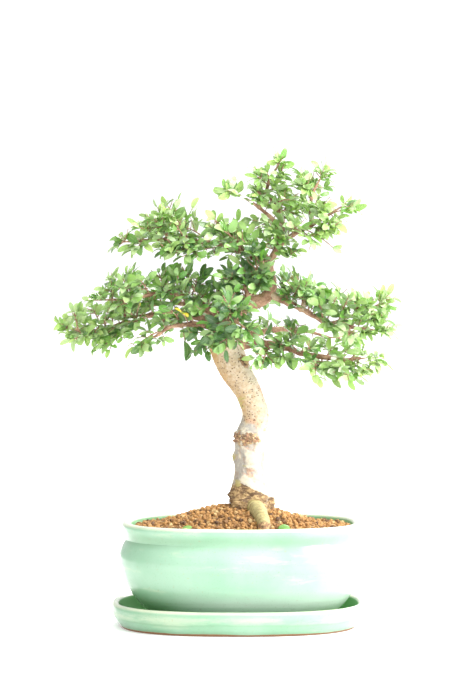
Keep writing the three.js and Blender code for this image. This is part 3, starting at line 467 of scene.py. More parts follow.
def drill(piece, radius, spots):
    """Cuts round upright holes through a piece, one at each spot, and keeps the result in its mesh."""
    for number, (x, y, z) in enumerate(spots):
        drill_bit = Skin()
        centres = np.array([[x, y, z - DRILL_REACH], [x, y, z], [x, y, z + DRILL_REACH]], float)
        rings, _ = rings_round(centres, radius, 32)
        drill_bit.add(rings[None], centres[None, [0, 2]])
        tool = drill_bit.piece(f"drill_{number}")
        cut = piece.modifiers.new("hole", "BOOLEAN")
        cut.object, cut.operation, cut.solver = tool, "DIFFERENCE", "EXACT"
        graph = bpy.context.evaluated_depsgraph_get()
        cut_mesh = bpy.data.meshes.new_from_object(piece.evaluated_get(graph))
        piece.modifiers.clear()
        piece.data, old = cut_mesh, piece.data
        bpy.data.meshes.remove(old)
        bpy.data.objects.remove(tool)
    piece.data.set_sharp_from_angle(angle=math.radians(40))


# Shapes of the soil


def soil_height(x, y):
    """A mound: from the edge's height it rises to the peak by 1 less the 1.5th power of the distance
    from its middle, counted in shares of its reach."""
    away = np.hypot((x - SOIL_MIDDLE[0]) / SOIL_REACH[0], (y - SOIL_MIDDLE[1]) / SOIL_REACH[1])
    return SOIL_EDGE + (SOIL_PEAK - SOIL_EDGE) * np.maximum(0, 1 - away**1.5)


def granule_lumps(spots, sizes, seed):
    """Clay crumbs: a ball of 3 rings and 6 sides whose every point is pushed in or out at random,
    squashed a little in each way, turned at random and set at its spot. Returns rings, ends and tones."""
    rng = np.random.default_rng(seed)
    count = len(spots)
    lift = np.radians([-46, 0, 46])[:, None]
    angle = 2 * np.pi * (np.arange(6)[None] + 0.5 * np.arange(3)[:, None]) / 6
    across = np.cos(lift)
    ball = np.stack([across * np.cos(angle), across * np.sin(angle), np.sin(lift) + 0 * angle], -1)
    ball = np.vstack([ball.reshape(-1, 3), [[0, 0, -1], [0, 0, 1]]])
    lumps = ball[None] * rng.uniform(0.7, 1.3, (count, len(ball), 1))
    lumps = lumps * rng.uniform(0.72, 1.05, (count, 1, 3)) * sizes[:, None, None] / 2
    x_axis = unit(rng.normal(size=(count, 3)))
    y_axis = unit(np.cross(x_axis, rng.normal(size=(count, 3))))
    turn = np.stack([x_axis, y_axis, np.cross(x_axis, y_axis)], -1)
    lumps = np.einsum("nij,nkj->nki", turn, lumps) + spots[:, None]
    tones = np.stack([rng.random(count), rng.random(count), rng.random(count)], -1)
    return lumps[:, :-2].reshape(count, 3, 6, 3), lumps[:, -2:], tones


def granule_spots(spacing, seed):
    """Places for crumbs on the mound: a grid of triangles spacing apart, each place moved a little at
    random, kept inside the pot's lip and off the trunk and the front root."""
    rng = np.random.default_rng(seed)
    x, y = np.meshgrid(np.arange(-96, 96, spacing), np.arange(-72, 72, spacing * 0.866))
    x = x + 0.5 * spacing * (np.arange(x.shape[0]) % 2)[:, None]
    spots = np.stack([x.ravel(), y.ravel()], -1) + rng.uniform(-0.34, 0.34, (x.size, 2)) * spacing
    angle = np.arctan2(spots[:, 1], spots[:, 0])
    inside = np.hypot(*spots.T) < oval_reach(np.full(len(spots), GRANULES_WITHIN), angle)
    off_trunk = np.hypot(spots[:, 0] - TRUNK_FOOT_X, spots[:, 1]) > GRANULES_OFF_TRUNK
    root = smooth_path(ROOTS[0], np.linspace(0, 0.8, 20))
    apart = np.linalg.norm(spots[:, None] - root[None, :, :2], axis=-1).min(1)
    return spots[inside & off_trunk & (apart > GRANULES_OFF_ROOT)]


# Shapes of the wood


def bark_zones(points, limb):
    """Three values for each point of the wood: its kind of bark, from 0 at the foot through 1 for the
    plates of the middle and 2 for the smooth skin above to 3 on the limbs; how much of a burl or scab
    it is; and the tint of fresh bark, from -1 olive to 1 pink. limb is the share of limb bark."""
    height = points[:, 2] + 2.2 * ripple(points, 9, 31) + 0.5 * np.clip(points[:, 0] - 6, -6, 16)
    kind = climb(height, *PLATES_FROM) + climb(height, *SKIN_FROM)
    kind = kind + (3 - kind) * limb
    scab, tint = np.zeros(len(points)), np.zeros(len(points))
    for x, y, z, reach in BURLS:
        scab = np.maximum(scab, swell(points, (x, y, z), reach))
    for x, y, z, reach, shed in SHED:
        tint += shed * swell(points, (x, y, z), reach)
    return np.column_stack([kind, scab * (1 - limb), tint * (1 - limb)])


def trunk_surface(rows, sides):
    """The trunk: rings round a smooth path, whose radius follows the table. Added to it are bells at
    the knobs, crumbly burls, plates that stand proud by a step, ledges and lobes that spread into the
    roots, and ripples in three sizes for the bark. Returns rings, ends and bark zones."""
    table = smooth_path(TRUNK, np.linspace(0, 1, rows))
    rings, out = rings_round(table[:, :3], table[:, 3:4], sides)
    flat = rings.reshape(-1, 3)
    zones = bark_zones(flat, climb(flat[:, 2], 243, 262))
    relief = np.zeros(len(flat))
    for x, y, z, reach, height in KNOBS:
        relief += height * swell(flat, (x, y, z), reach)
    crumbs = np.abs(ripple(flat, 3.6, 11)) + 0.6 * np.abs(ripple(flat, 1.9, 17))
    relief += climb(zones[:, 1], 0.25, 0.75) * (2.3 * crumbs - 0.4)
    middle = np.exp(-(((flat[:, 2] - 136) / 26) ** 2))
    relief += middle * 0.55 * climb(ripple(flat * (1, 1, 0.8), 17, 16), 0.02, 0.1)
    foot = 1 - climb(flat[:, 2], 104, 118)
    ledge = np.sin(2 * np.pi * (flat[:, 2] + 2.5 * ripple(flat, 22, 18)) / 5.2)
    lobes = 0.9 * np.sin(5 * np.arctan2(flat[:, 1], flat[:, 0] - TRUNK_FOOT_X) + 0.7)
    relief += foot * (lobes + 0.75 * np.abs(ledge) + 0.9 * ripple(flat * (1, 1, 1.6), 6, 12))
    relief += 0.5 * ripple(flat, 24, 13) + 0.22 * ripple(flat * (1, 1, 1.6), 8, 14)
    relief += 0.08 * ripple(flat * (1, 1, 2.2), 2.6, 15)
    rings += relief.reshape(rings.shape[:2])[..., None] * out
    return rings, np.stack([table[0, :3], table[-1, :3]]), zones


def root_surface(points, rows, sides, seed):
    """A root: rings round a smooth path, with a collar 9 mm along and folds across it every 3 mm. Past
    the collar its bark is olive, with dark creases between the folds and a rough end. Returns rings,
    ends and bark zones."""
    share = np.linspace(0, 1, rows)
    table = smooth_path(points, share)
    run = np.concatenate([[0], np.cumsum(np.linalg.norm(np.diff(table[:, :3], axis=0), axis=1))])
    rings, out = rings_round(table[:, :3], table[:, 3:4], sides)
    fold = 0.34 * np.abs(np.sin(np.pi * (run + 1.2 * ripple(table[:, :3], 15, seed + 2)) / 3.1))
    collar = 0.9 * np.exp(-(((run - 9) / 2.5) ** 2))
    skin = 0.4 * ripple(rings, 9, seed) + 0.1 * ripple(rings, 3, seed + 1)
    rings += ((fold + collar)[:, None] + skin)[..., None] * out
    scab = 0.5 * np.exp(-((fold / 0.11) ** 2)) + 0.8 * climb(run, run[-1] - 17, run[-1] - 12)
    zones = np.column_stack([0.75 * climb(run, 9, 14), scab, -1.6 * climb(run, 6, 12)])
    return rings, np.stack([table[0, :3], table[-1, :3]]), np.repeat(zones, sides, axis=0)


def limb_path(name):
    """The smooth path of a limb, as a function of shares 0 to 1."""
    points = LIMBS[name][1:]
    return lambda share: smooth_path(points, np.atleast_1d(np.asarray(share, float)))


def limb_radius(name, share):
    """From the start radius to the end radius by the 0.8th power of the share."""
    start, end = LIMBS[name][0]
    return start + (end - start) * share**0.8


def limb_surface(name, sides, seed):
    """A limb: rings round its path with its radius, a collar that falls off over 7 mm where it leaves
    the wood, a knuckle at each spray, ripples for its bark, and a rounded end. Returns rings, ends and
    bark zones."""
    path = limb_path(name)
    rough = path(np.linspace(0, 1, 60))
    length = np.linalg.norm(np.diff(rough, axis=0), axis=1).sum()
    share = np.linspace(0, 1, max(24, int(length / 1.1)))
    centres = path(share)
    run = share * length
    radius = limb_radius(name, share) * 0.97 + 0.45 * limb_radius(name, 0) * np.exp(-run / 7)
    for limb, at, *_ in SPRAYS + FILLING:
        if limb == name and at < 1:
            radius += 0.4 * np.exp(-(((run - at * length) / 2.2) ** 2))
    radius *= np.sqrt(np.clip(1 - ((run - length + 1.6) / 1.7).clip(0) ** 2, 0.05, 1))
    rings, out = rings_round(centres, radius[:, None], sides)
    bark = 0.16 * ripple(rings, 7, seed) + 0.09 * ripple(rings, 2.6, seed + 1)
    rings += (bark * np.minimum(1, radius / 2)[:, None])[..., None] * out
    zones = bark_zones(rings.reshape(-1, 3), np.repeat(climb(run, 2, 16), sides))
    return rings, np.stack([centres[0], centres[-1] + 0.2 * (centres[-1] - centres[-2])]), zones


# Shapes of the sprays


def seeded(seed):
    """A function that gives the next count numbers, from 0 to 1, of a row that repeats for the same seed."""
    state = seed

    def take(count):
        nonlocal state
        drawn = []
        for _ in range(count):
            state = (state * 1664525 + 1013904223) % 2**32
            drawn.append(state / 2**32)
        return np.array(drawn)

    return take


def spray_plane(at, along):
    """For points on a twig, the normal of the plane that its leaves lie in, and the direction across
    the twig in it. The normal points up, turned outward and to the side of the tree it grows on."""
    outward = unit((at - CANOPY_MIDDLE) * (1, 1, 0))
    face = np.array((0, 0, 1.0)) + 0.6 * outward
    face[:, 1] += np.where(outward[:, 1] < 0.35, -0.45, 0.45)
    face = unit(face - along * (face * along).sum(-1, keepdims=True))
    return face, unit(np.cross(face, along))


def leaves_along(path, first, width, take):
    """Leaves that alternate along a twig, with one at its tip. A leaf's axis swings off the twig in
    its plane and lifts out of it at random, and its blade rolls about that axis at random. Returns
    rows of foot, axis, normal, length and share."""
    length = np.linalg.norm(np.diff(path(np.linspace(0, 1, 201)), axis=0), axis=1).sum()
    count = max(2, round(length / LEAF_PITCH))
    number = np.arange(count + 1)
    share = first + (1 - first) * number / count
    along = heading(path, share)
    face, across = spray_plane(path(share), along)
    side = np.where(number % 2, 1.0, -1.0)
    drawn = take(4 * count + 3)
    spread_draw = np.append(drawn[: 4 * count : 4], 0.5)
    lift, roll, size = (np.append(drawn[k : 4 * count : 4], drawn[4 * count + k - 1]) for k in (1, 2, 3))
    spread = side * (0.9 + 0.4 * (spread_draw - 0.5))
    spread[-1] = 0.15 * side[-1]
    axis = along * np.cos(spread)[:, None] + across * np.sin(spread)[:, None]
    axis = unit(axis + face * (0.7 * (lift - 0.45))[:, None])
    turn = (0.6 * (2 * roll - 1))[:, None]
    flat = unit(np.cross(axis, face))
    normal = unit(np.cross(flat, axis) * np.cos(turn) + flat * np.sin(turn))
    size = LEAF_SCALE * (LEAF_LEAST + LEAF_MORE * size) * (1 - 0.2 * share)
    foot = path(share) + across * (side * width / 2 * (number < count))[:, None]
    return np.column_stack([foot, axis, normal, size, share])


def small_leaves(leaves, seed):
    """Smaller leaves between the others: four of five leaves get one, which starts beside its foot and
    swings off it at random."""
    rng = np.random.default_rng(seed)
    own = leaves[rng.random(len(leaves)) < 0.8]
    foot, axis, normal = own[:, 0:3], own[:, 3:6], own[:, 6:9]
    across = np.cross(normal, axis)
    swing = rng.choice((-1, 1), (len(own), 1)) * rng.uniform(0.5, 1.5, (len(own), 1))
    lift = rng.uniform(-0.5, 0.8, (len(own), 1))
    way = unit(axis * np.cos(swing) + across * np.sin(swing) + normal * lift)
    face = unit(normal + 0.5 * rng.normal(size=normal.shape))
    face = unit(face - way * (face * way).sum(-1, keepdims=True))
    size = own[:, 9:10] * rng.uniform(0.45, 0.8, (len(own), 1))
    return np.hstack([foot + 0.4 * axis, way, face, size, own[:, 10:11]])


def tufts_of(limb, seed):
    """Short shoots straight on a limb, about every 8 mm of its outer three quarters: each rises from
    the limb's middle in a random direction that leans up and carries about three leaves. Returns twigs
    as (centres, radii) and leaf rows."""
    rng = np.random.default_rng(seed)
    wood = limb_path(limb)
    length = np.linalg.norm(np.diff(wood(np.linspace(0, 1, 60)), axis=0), axis=1).sum()
    share = np.arange(0.22, 0.97, TUFT_PITCH / length)
    share = share + rng.uniform(-2, 2, len(share)) / length
    base, along = wood(share), heading(wood, share)
    out = unit(rng.normal(size=base.shape) + (0, -0.25, 0.55))
    out = unit(out - 0.85 * along * (out * along).sum(-1, keepdims=True))
    reach = limb_radius(limb, share)[:, None] + rng.uniform(3, 9, (len(share), 1))
    twigs, leaves = [], []
    for foot, ahead, away, size in zip(base, along, out, reach):
        line = bend(foot, foot + 0.5 * size * away, foot + size * unit(away + 0.35 * ahead))
        leaves.append(leaves_along(line, 0.7, 0.7, lambda count: rng.random(count)))
        twigs.append((line(np.linspace(0, 1, 6)), np.linspace(0.5, 0.3, 6)))
    return twigs, np.vstack(leaves)


def shoots_of(limb, seed):
    """The single shoots that stand out on a limb: each is a thin twig from the limb's middle that ends
    in a fan of leaves, 50 degrees apart. Returns twigs as (centres, radii), leaf rows and their tones."""
    rng = np.random.default_rng(seed)
    wood, twigs, leaves, tones = limb_path(limb), [], [np.zeros((0, 11))], [np.zeros((0, 3))]
    for _, share, x, y, z, count, size, young, yellow in (row for row in SHOOTS if row[0] == limb):
        base, tip = wood(share)[0], np.array((x, y, z), float)
        end = tip + unit(base - tip) * size
        line = bend(base, (base + end) / 2 + (0, 0, 3), end)
        along = unit(tip - end)
        across = unit(np.cross(SHOOT_FACE, along))
        turn = (np.arange(count) + 1) // 2 * np.where(np.arange(count) % 2, 0.87, -0.87)
        axis = unit(along * np.cos(turn)[:, None] + across * np.sin(turn)[:, None])
        normal = unit(SHOOT_FACE + 0.3 * rng.normal(size=(count, 3)))
        normal = unit(normal - axis * (normal * axis).sum(-1, keepdims=True))
        length = size * np.append(1, rng.uniform(0.7, 0.95, count - 1))
        leaves.append(np.column_stack([np.tile(end, (count, 1)), axis, normal, length, np.full(count, 0.5)]))
        tones.append(np.column_stack([np.full(count, young), rng.random(count), np.full(count, yellow)]))
        twigs.append((line(np.linspace(0, 1, 10)), np.linspace(0.6, 0.35, 10)))
    return twigs, np.vstack(leaves), np.vstack(tones)


def bare_spurs(path, seed):
    """Short leafless shoots that poke out of a spray's twig: each starts on it, leans along it and
    tapers to a blunt end. Returns (centres, radii) for each."""
    rng = np.random.default_rng(seed)
    share = rng.uniform(0.2, 0.95, 3)
    base, along = path(share), heading(path, share)
    out = unit(rng.normal(size=(3, 3)) + (0, 0, 0.7))
    out = unit(out - 0.8 * along * (out * along).sum(-1, keepdims=True))
    reach = rng.uniform(5, 12, (3, 1))
    spurs = []
    for foot, ahead, away, size in zip(base, along, out, reach):
        middle = foot + 0.5 * size * (away + 0.2 * ahead)
        line = bend(foot, middle, foot + size * unit(away + 0.5 * ahead))
        spurs.append((line(np.linspace(0, 1, 6)), np.linspace(0.42, 0.24, 6)))
    return spurs


def bend(start, middle, end):
    """The quadratic curve from start to end that is drawn towards middle, as a function of shares."""

    def path(share):
        t = np.atleast_1d(np.asarray(share, float))[:, None]
        return (1 - t) ** 2 * start + 2 * t * (1 - t) * middle + t**2 * end

    return path


def spray_of(limb, share, tip, index):
    """One spray: a main twig from just outside its limb towards its tip, three side twigs that grow
    from it on alternate sides, and the leaves along them all. Returns twigs as (centres, radii) and
    leaf rows."""
    take = seeded(SPRAY_SEED + index * SPRAY_SEED_STEP)
    wood = limb_path(limb)
    centre, along = wood(share)[0], heading(wood, np.array([float(share)]))[0]
    tip = np.asarray(tip, float)
    if share == 1:
        start = centre + CLEARANCE * along
    else:
        out = unit(tip - centre)
        slant = abs(out @ along)
        away = unit(out - along * (out @ along))
        off = limb_radius(limb, share) + CLEARANCE + TWIG_WIDTH[0] * (0.5 * slant + 0.2)
        start = centre + off * away
    reach = np.linalg.norm(tip - start) - LAST_LEAF
    end = tip + (start - tip) * LAST_LEAF / (reach + LAST_LEAF)
    middle = (start + end) / 2 + np.array((0, 0, 0.1 * reach))
    if share == 1:
        middle = start + 0.45 * reach * along
    path = bend(start, middle, end)
    leaves = [leaves_along(path, 0.16, TWIG_WIDTH[1], take)]
    centres = np.vstack([centre - (along if share == 1 else 0), path(np.linspace(0, 1, 13))])
    twigs = [(centres, np.append(TWIG_WIDTH[0], np.linspace(TWIG_WIDTH[0], 0.75, 13)) / 2)]
    for number, (place, size) in enumerate(SIDE_TWIGS):
        base, ahead = path(place), heading(path, np.array([place]))
        face, across = spray_plane(base, ahead)
        side = 1 if (number + index) % 2 else -1
        out = ahead * np.cos(0.95) + across * side * np.sin(0.95) + face * 0.5 * (take(1)[0] - 0.35)
        ending = (base + unit(out) * size * reach)[0]
        line = bend(base[0], (base[0] + ending) / 2, ending)
        leaves.append(leaves_along(line, 0.3, TWIG_WIDTH[2], take))
        twigs.append((line(np.linspace(0, 1, 8)), np.linspace(TWIG_WIDTH[2], 0.6, 8) / 2))
    leaves = np.vstack(leaves)
    small = small_leaves(leaves, SMALL_LEAF_SEED + index)
    return twigs + bare_spurs(path, SPUR_SEED + index), np.vstack([leaves, small])


# Shares of a leaf's length at which it has a ring, and which way its edge steps there for the teeth.
STATIONS = np.array((0, 0.06, 0.12, 0.22, 0.34, 0.46, 0.58, 0.7, 0.8, 0.89, 0.96))
TEETH = np.array((0, 0, 0, -1, 1, -1, 1, -1, 1, -1, 0))


def blade_rings(leaves, look, seed, lean=0.45):
    """Elm leaves, each a flat tube of 4 sides: edge, rib below, edge, rib above. Past the stalk its half
    width is the 0.55th power of 4 t (1 - t), skewed to the stalk, its edge steps out and in for the
    teeth, its halves fold up from the rib, and the rib arches and then droops by the square of the share.
    Each blade also rolls about its rib at random, with a spread of lean radians."""
    rng = np.random.default_rng(seed)
    count = len(leaves)
    foot, axis, normal = leaves[:, 0:3], leaves[:, 3:6], leaves[:, 6:9]
    length = leaves[:, 9:10]
    across = np.cross(normal, axis)
    plump, fold, droop, sway = (
        rng.uniform(low, high, (count, 1))
        for low, high in ((0.8, 1.12), (0.06, 0.42), (0.22, 0.48), (-0.08, 0.08))
    )
    roll = rng.normal(0, lean, (count, 1))
    rolled = across * np.cos(roll) + normal * np.sin(roll)
    normal = normal * np.cos(roll) - across * np.sin(roll)
    across = rolled
    t = np.clip((STATIONS - 0.055) / 0.945, 0, 1) ** 0.9
    oval = (4 * t * (1 - t)) ** 0.55
    half = length * look.width_share / 2 * plump * oval + 0.3 * (1 - climb(STATIONS, 0.05, 0.2))
    tooth = half * 0.03 * TEETH
    rise = length * ((0.27 * STATIONS) - droop * STATIONS**2)
    shift = length * sway * np.sin(np.pi * STATIONS)
    thick = look.thickness / 2 / MM * np.ones_like(half)

    def line(side, up, forward=0.0):
        place = length * (STATIONS + forward)
        return (
            foot[:, None]
            + axis[:, None] * place[..., None]
            + across[:, None] * (side + shift)[..., None]
            + normal[:, None] * (rise + up)[..., None]
        )

    ahead = 0.012 * (TEETH > 0)
    left = line(-half - tooth, fold * half, ahead)
    right = line(half + tooth, fold * half, ahead)
    rings = np.stack([left, line(0 * half, -thick), right, line(0 * half, thick)], axis=2)
    tip = foot + axis * length + normal * length * (0.27 - droop)
    return rings, np.stack([foot - 0.25 * axis, tip], axis=1)


def blade_map(rows):
    """A leaf's own map: U runs from the stalk to the tip. V runs over the upper face from 0 at one edge
    to 1 at the other, and over the lower face from 2 to 3."""
    u = np.append(STATIONS, 1.0)
    edge_pairs = np.array([(2.0, 2.5), (2.5, 3.0), (1.0, 0.5), (0.5, 0.0)])
    low, high = u[:-2], u[1:-1]
    quads = [
        np.array([(low[r], a), (low[r], b), (high[r], b), (high[r], a)])
        for r in range(rows - 1)
        for a, b in edge_pairs
    ]
    foot = [np.array([(0, (a + b) / 2), (0, b), (0, a)]) for a, b in edge_pairs]
    tip = [np.array([(1, (a + b) / 2), (u[-2], a), (u[-2], b)]) for a, b in edge_pairs]
    return np.vstack(quads), np.vstack(foot + tip)


def leaf_tones(leaves, seed):
    """Three values for each leaf: how young it is, which of the greens it has, paler towards the
    outside of the crown, and how yellow it has turned, which is not at all."""
    rng = np.random.default_rng(seed)
    foot, share = leaves[:, :3], leaves[:, 10]
    outer = climb(np.hypot(foot[:, 0] + 8, 1.4 * (foot[:, 2] - 262)), 30, 125)
    at_tip = 0.45 * climb(share, 0.55, 1) * rng.random(len(share))
    young = 0.42 * outer + at_tip + 0.6 * (rng.random(len(share)) - 0.55)
    own = np.clip(0.8 * rng.random(len(share)) + 0.38 * outer - 0.08, 0, 1)
    return np.column_stack([np.clip(young, 0, 1) ** 1.6, own, np.zeros(len(share))])


# Materials


def node(tree, kind, inputs=None, **settings):
    """Adds a shader node. inputs maps a socket to a value, or to the (node, output) that feeds it."""
    made = tree.nodes.new("ShaderNode" + kind)
    for key, value in settings.items():
        setattr(made, key, value)
    for key, value in (inputs or {}).items():
        if isinstance(value, tuple) and isinstance(value[0], bpy.types.Node):
            tree.links.new(value[0].outputs[value[1]], made.inputs[key])
        else:
            made.inputs[key].default_value = value
    return made


def blend_colour(tree, share, low, high):
    """A colour that goes from low to high as share goes from 0 to 1."""
    mix = node(tree, "Mix", {0: share, 6: low, 7: high}, data_type="RGBA")
    return (mix, 2)


def band(tree, source, low, high, bottom=0.0, top=1.0):
    """A value that climbs from bottom to top, smoothly, as source goes from low to high."""
    ranged = node(
        tree,
        "MapRange",
        {"Value": source, "From Min": low, "From Max": high, "To Min": bottom, "To Max": top},
        interpolation_type="SMOOTHSTEP",
    )
    return (ranged, 0)


def sums(tree, kind, first, second):
    """Two values joined by one sum, such as ADD or MULTIPLY."""
    return (node(tree, "Math", {0: first, 1: second}, operation=kind), 0)


def speckle(tree, where, scale, detail, rough, stretch=(1, 1, 1)):
    """Noise over a place, stretched along an axis if asked."""
    if stretch != (1, 1, 1):
        where = (node(tree, "Mapping", {"Vector": where, "Scale": stretch}), 0)
    noise = node(tree, "TexNoise", {"Vector": where, "Scale": scale, "Detail": detail, "Roughness": rough})
    return (noise, 0)


def start_material(name):
    """A new node material: its tree, its shader already wired to the output, and Object coordinates."""
    material = bpy.data.materials.new(name)
    material.use_nodes = True
    tree = material.node_tree
    tree.nodes.clear()
    shader = node(tree, "BsdfPrincipled")
    output = node(tree, "OutputMaterial", {"Surface": (shader, 0)})
    place = (node(tree, "TexCoord"), 3)
    return material, tree, shader, output, place


def raise_surface(tree, shader, height, distance, strength):
    """Bumps a surface by a height, in metres of relief."""
    bump = node(tree, "Bump", {"Height": height, "Distance": distance, "Strength": strength})
    tree.links.new(bump.outputs[0], shader.inputs["Normal"])


POT_LEFT_END = -0.085  # about where the glaze's left end lies along X, in metres


def belt(tree, along, level, middle, reach, left, right):
    """How much of a band of glaze there is at a level: all of it at its middle and none past its
    reach, times left at the pot's left end and times right from its middle on."""
    # Where left and right differ, the bands paint the uneven light: deeper at the less lit left end as
    # painted shade, and the band of painted light only on the right.
    away = (node(tree, "Math", {0: sums(tree, "SUBTRACT", level, middle)}, operation="ABSOLUTE"), 0)
    return sums(tree, "MULTIPLY", band(tree, away, reach, 0), band(tree, along, POT_LEFT_END, 0, left, right))


def glaze_material(look, name, thin, pooled_and_shaded, painted_light, inside, foot_top, coat):
    """Celadon glaze over clay, by height in metres. The thin bands are paler. The deeper bands are glaze that
    pools, and painted shade where they are deeper at the left end. The bands of painted light are paler glaze
    painted where light falls back on the pot. The glaze also pools on the inside, which is darker as painted
    shade too, and the clay is bare under foot_top. Soft clouds, streaks that lie along the wall and fine
    pinholes break it up."""
    material, tree, shader, _, place = start_material(name)
    height = (node(tree, "SeparateXYZ", {0: place}), 2)
    cloud = speckle(tree, place, 24, 4, 0.5)
    streak = speckle(tree, place, 22, 6, 0.62, (1, 1, 5))
    grain = speckle(tree, place, 420, 4, 0.6)
    colour = blend_colour(tree, band(tree, cloud, 0.32, 0.7), (*look.glaze, 1), (*look.thin_glaze, 1))
    drag = band(tree, streak, 0.56, 0.72, 0, 0.35)
    colour = blend_colour(tree, drag, colour, (*look.edge_glaze, 1))
    wander = sums(tree, "MULTIPLY", sums(tree, "SUBTRACT", streak, 0.5), 0.006)
    level = sums(tree, "ADD", height, wander)
    along = (node(tree, "SeparateXYZ", {0: place}), 0)
    # Deeper bands: glaze that pools, with painted shade where they are deeper at the left end.
    for row in pooled_and_shaded:
        colour = blend_colour(tree, belt(tree, along, level, *row), colour, (*look.deep_glaze_and_shade, 1))
    # Painted light: paler bands where light falls back on the pot.
    for row in painted_light:
        colour = blend_colour(tree, belt(tree, along, level, *row), colour, (*look.painted_light_glaze, 1))
    facing = (node(tree, "NewGeometry"), 1)
    flat = (node(tree, "VectorMath", {0: place, 1: (1, 1, 0)}, operation="MULTIPLY"), 0)
    outward = (node(tree, "VectorMath", {0: facing, 1: flat}, operation="DOT_PRODUCT"), 1)
    inner = band(tree, outward, -0.004, -0.016)
    upward = band(tree, (node(tree, "SeparateXYZ", {0: facing}), 2), 0.5, 0.8)
    inner = (node(tree, "Math", {0: inner, 1: upward}, operation="MAXIMUM"), 0)
    # The inside darkens below its top, more at the ends: glaze that pools and painted shade.
    pool_top, in_middle, at_ends = inside
    inner = sums(tree, "MULTIPLY", inner, band(tree, height, pool_top, pool_top - 0.0015))
    ends = (node(tree, "Math", {0: along}, operation="ABSOLUTE"), 0)
    pool_and_shade_inside = sums(tree, "MULTIPLY", inner, band(tree, ends, 0.045, 0.07, in_middle, at_ends))
    for *row, gaps in thin:
        edge = sums(tree, "MULTIPLY", belt(tree, along, height, *row), band(tree, streak, 0.42, 0.6, gaps, 1))
        colour = blend_colour(tree, edge, colour, (*look.edge_glaze, 1))
    colour = blend_colour(tree, pool_and_shade_inside, colour, (*look.inner_glaze_and_shade, 1))
    fine = speckle(tree, place, 900, 3, 0.6)
    colour = blend_colour(tree, band(tree, fine, 0.6, 0.76, 0, 0.5), colour, (*look.deep_glaze_and_shade, 1))
    colour = blend_colour(tree, band(tree, grain, 0.6, 0.76, 0, 0.3), colour, (*look.clay, 1))
    rough_line = sums(tree, "ADD", height, sums(tree, "MULTIPLY", sums(tree, "SUBTRACT", streak, 0.5), 0.003))
    bare = band(tree, rough_line, foot_top + 0.0003, foot_top - 0.0003)
    grit = speckle(tree, place, 1400, 4, 0.7)
    clay = blend_colour(tree, grit, (*look.clay, 1), (*(0.6 * c for c in look.clay), 1))
    colour = blend_colour(tree, bare, colour, clay)
    tree.links.new(colour[0].outputs[2], shader.inputs["Base Color"])
    gloss = sums(tree, "ADD", sums(tree, "MULTIPLY", cloud, 0.14), look.gloss)
    gloss = blend_value(tree, inner, gloss, 0.85)
    gloss = blend_value(tree, bare, gloss, 0.85)
    tree.links.new(gloss[0].outputs[0], shader.inputs["Roughness"])
    wave = speckle(tree, place, 60, 3, 0.5)
    relief = sums(tree, "ADD", wave, sums(tree, "MULTIPLY", fine, 0.12))
    raise_surface(tree, shader, relief, 0.0005, 0.35)
    shader.inputs["Coat Weight"].default_value = coat
    shader.inputs["Coat Roughness"].default_value = 0.08
    return material


def blend_value(tree, share, low, high):
    """A number that goes from low to high as share goes from 0 to 1."""
    mix = node(tree, "Mix", {0: share, 2: low, 3: high}, data_type="FLOAT")
    return (mix, 0)


def granule_material(look):
    """Fired clay crumbs: each has a shade of its own from its tone, mottled, with a pitted dry surface."""
    material, tree, shader, _, place = start_material("fired_clay_granules")
    tone = node(tree, "Attribute", attribute_name="tone", attribute_type="GEOMETRY")
    parts = node(tree, "SeparateXYZ", {0: (tone, 1)})
    fired = node(tree, "ValToRGB", {"Fac": (parts, 0)})
    ramp = fired.color_ramp
    ramp.elements[0].position, ramp.elements[0].color = 0.0, (*look.dark_clay, 1)
    ramp.elements[1].position, ramp.elements[1].color = 1.0, (*look.pale_clay, 1)
    stops = (
        (0.05, look.dark_clay), (0.17, look.brown_clay), (0.55, look.orange_clay), (0.86, look.orange_clay),
    )
    for spot, clay in stops:
        ramp.elements.new(spot).color = (*clay, 1)
    mottle = speckle(tree, place, 700, 5, 0.7)
    colour = blend_colour(tree, band(tree, mottle, 0.35, 0.7, 0, 0.55), (fired, 0), (*look.brown_clay, 1))
    dust = speckle(tree, place, 2400, 3, 0.6)
    colour = blend_colour(tree, band(tree, dust, 0.55, 0.75, 0, 0.4), colour, (*look.pale_clay, 1))
    tree.links.new(colour[0].outputs[2], shader.inputs["Base Color"])
    shader.inputs["Roughness"].default_value = 0.93
    pits = node(tree, "TexVoronoi", {"Vector": place, "Scale": 1300})
    relief = sums(tree, "ADD", mottle, sums(tree, "MULTIPLY", (pits, 0), 0.8))
    raise_surface(tree, shader, relief, 0.0006, 0.8)
    return material


def bed_material(look):
    """The crumbs below the surface, seen in the gaps between granules: darker, which paints the shade in
    those gaps, lumpy and dull.
    """
    material, tree, shader, _, place = start_material("shaded_clay_bed")
    lumps = node(tree, "TexVoronoi", {"Vector": place, "Scale": 330, "Randomness": 1.0})
    # Painted shade: the bed is darker than the granules above it.
    colour = blend_colour(tree, (lumps, 0), (*look.orange_clay, 1), (*look.dark_clay, 1))
    grit = speckle(tree, place, 900, 5, 0.7)
    colour = blend_colour(tree, band(tree, grit, 0.4, 0.7, 0, 0.6), colour, (*look.brown_clay, 1))
    tree.links.new(colour[0].outputs[2], shader.inputs["Base Color"])
    shader.inputs["Roughness"].default_value = 0.9
    dents = band(tree, (lumps, 0), 0.0, 0.7, 1, 0)
    raise_surface(tree, shader, sums(tree, "ADD", dents, sums(tree, "MULTIPLY", grit, 0.3)), 0.0016, 1.0)
    return material


